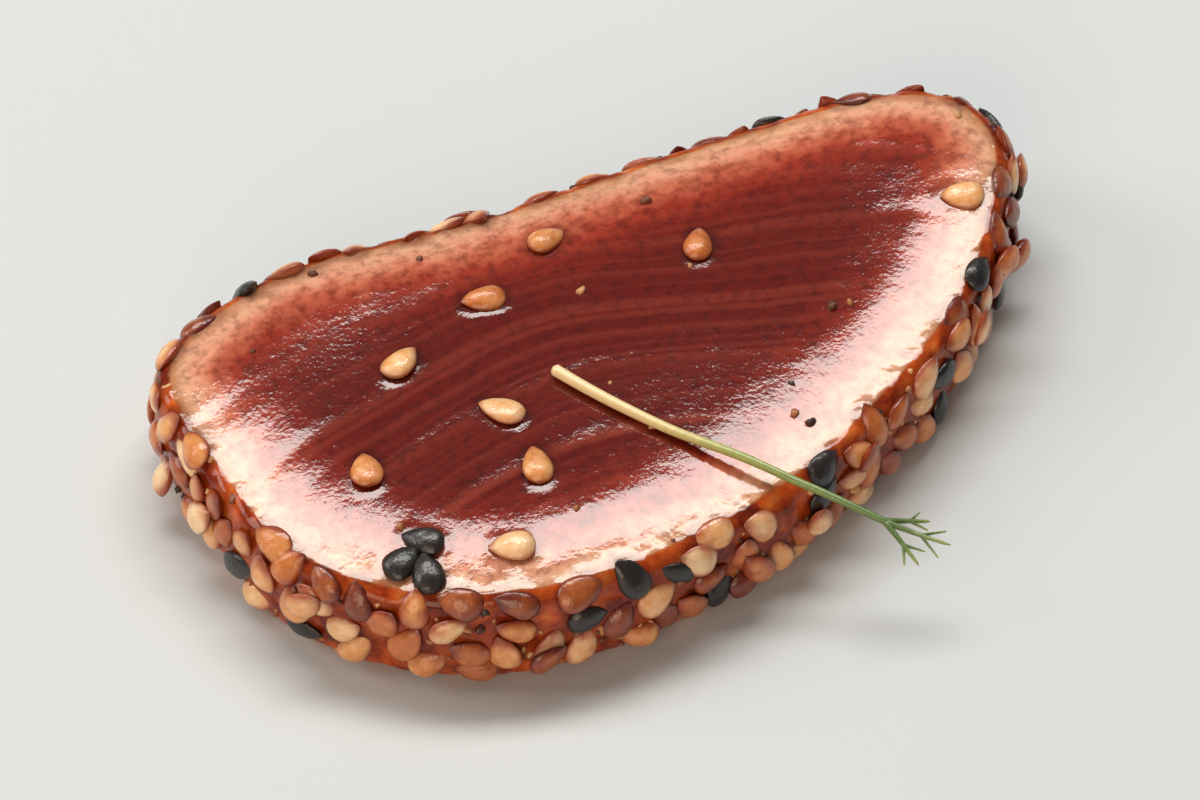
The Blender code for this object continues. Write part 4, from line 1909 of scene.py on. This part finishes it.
@dataclass(frozen=True)
class Softbox:
    """A soft lamp, placed by its turn from the camera's line of sight."""

    name: str
    turn: float  # degrees to the left of straight ahead
    elevation: float  # degrees
    distance: float
    width: float
    height: float
    power: float
    colour: str


@dataclass
class Studio:
    """A plain pale floor, soft lamps and the camera at the photograph's angle."""

    azimuth: float = -32.0
    elevation: float = 48.0
    lens: float = 180.0
    sensor: float = 36.0
    fill_share: float = 0.80  # share of the frame's width that the slice takes
    clip: tuple[float, float] = (0.01, 50.0)
    floor_size: float = 6.0
    floor_drop: float = 0.02 * MM
    sky_colour: str = "#EEF1F4"
    sky_strength: float = 0.15
    aim_shift: tuple[float, float, float] = (-3.4 * MM, 2.1 * MM, -1.0 * MM)
    lamps: tuple[Softbox, ...] = (
        Softbox("window", 6.0, 62.0, 0.90, 0.95, 0.22, 8.2, "#FFFDF8"),
        Softbox("front_fill", 165.0, 26.0, 1.10, 0.80, 0.60, 6.0, "#FFDFC2"),
        Softbox("left_fill", 82.0, 32.0, 1.00, 0.45, 0.45, 3.2, "#FFFBF2"),
    )

    def toward(self, turn: float, elevation: float) -> Vector:
        """Reads a direction out from the slice.

        Args:
            turn: Degrees to the left of where the camera looks.
            elevation: Degrees above the horizon.

        Returns:
            A vector of length 1.
        """
        heading = math.radians(90 + self.azimuth + turn)
        rise = math.radians(elevation)
        level = math.cos(rise)
        return Vector((math.cos(heading) * level, math.sin(heading) * level, math.sin(rise)))

    def camera(self, low: Vector, high: Vector) -> None:
        """Sets up the camera.

        Args:
            low: The lowest corner of the object's box.
            high: The highest corner of the object's box.
        """
        data = bpy.data.cameras.new("camera")
        data.lens, data.sensor_width = self.lens, self.sensor
        data.clip_start, data.clip_end = self.clip
        camera = bpy.data.objects.new("camera", data)
        bpy.context.scene.collection.objects.link(camera)
        span = (high.x - low.x) / self.fill_share
        distance = span * self.lens / self.sensor
        aim = (low + high) / 2 + Vector(self.aim_shift)
        back = self.toward(180.0, self.elevation)
        camera.location = aim + back * distance
        camera.rotation_euler = (-back).to_track_quat("-Z", "Y").to_euler()
        bpy.context.scene.camera = camera

    def floor(self) -> None:
        """Lays the plain pale floor."""
        shape = bmesh.new()
        bmesh.ops.create_grid(shape, x_segments=1, y_segments=1, size=self.floor_size / 2)
        mesh = bpy.data.meshes.new("floor")
        shape.to_mesh(mesh)
        shape.free()
        mesh.materials.append(PaintedBoard().material())
        floor = bpy.data.objects.new("floor", mesh)
        floor.location.z = -self.floor_drop
        bpy.context.scene.collection.objects.link(floor)
        floor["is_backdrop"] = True

    def light(self, lamp: Softbox, aim: Vector) -> None:
        """Hangs a soft lamp.

        Args:
            lamp: The lamp's place, size and power.
            aim: The point that it faces.
        """
        data = bpy.data.lights.new(lamp.name, "AREA")
        data.shape = "RECTANGLE"
        data.size, data.size_y = lamp.width, lamp.height
        data.energy = lamp.power
        data.color = linear(lamp.colour)[:3]
        out = self.toward(lamp.turn, lamp.elevation)
        placed = bpy.data.objects.new(lamp.name, data)
        placed.location = aim + out * lamp.distance
        placed.rotation_euler = (-out).to_track_quat("-Z", "Y").to_euler()
        bpy.context.scene.collection.objects.link(placed)

    def sky(self) -> None:
        """Fills the shadows with a dim even light."""
        world = bpy.data.worlds.new("studio")
        world.use_nodes = True
        background = world.node_tree.nodes["Background"]
        background.inputs["Color"].default_value = linear(self.sky_colour)
        background.inputs["Strength"].default_value = self.sky_strength
        bpy.context.scene.world = world

    def build(self, low: Vector, high: Vector) -> None:
        """Sets up the whole studio.

        Args:
            low: The lowest corner of the object's box.
            high: The highest corner of the object's box.
        """
        self.camera(low, high)
        self.floor()
        self.sky()
        for lamp in self.lamps:
            self.light(lamp, (low + high) / 2)
        bpy.context.scene.view_settings.view_transform = "Standard"
        LOG.info("studio: %d lamps", len(self.lamps))


def main() -> None:
    """Dresses the slice and sets up the studio."""
    logging.basicConfig(level=logging.INFO, format="%(name)s %(message)s")
    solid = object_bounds()
    form = SliceForm()
    sprout = HerbSprout(form)
    plan = CrustPlan(form, sprout.line(sprout.plan_points))
    seeds = plan.seeds()
    crust = SesameCrust(plan.seed)
    link(TunaFlesh(form).build(seeds), "tuna_slice")
    for kind, coat in ((SeedKind.PALE, PALE_COAT), (SeedKind.BLACK, BLACK_COAT)):
        link(crust.build(kind, seeds, coat, plan.variants), "tuna_slice")
    link(SearCrumbs(form).build(), "tuna_slice")
    link(sprout.build(), "herb_sprout")
    Studio().build(*solid)


if __name__ == "__main__":
    main()
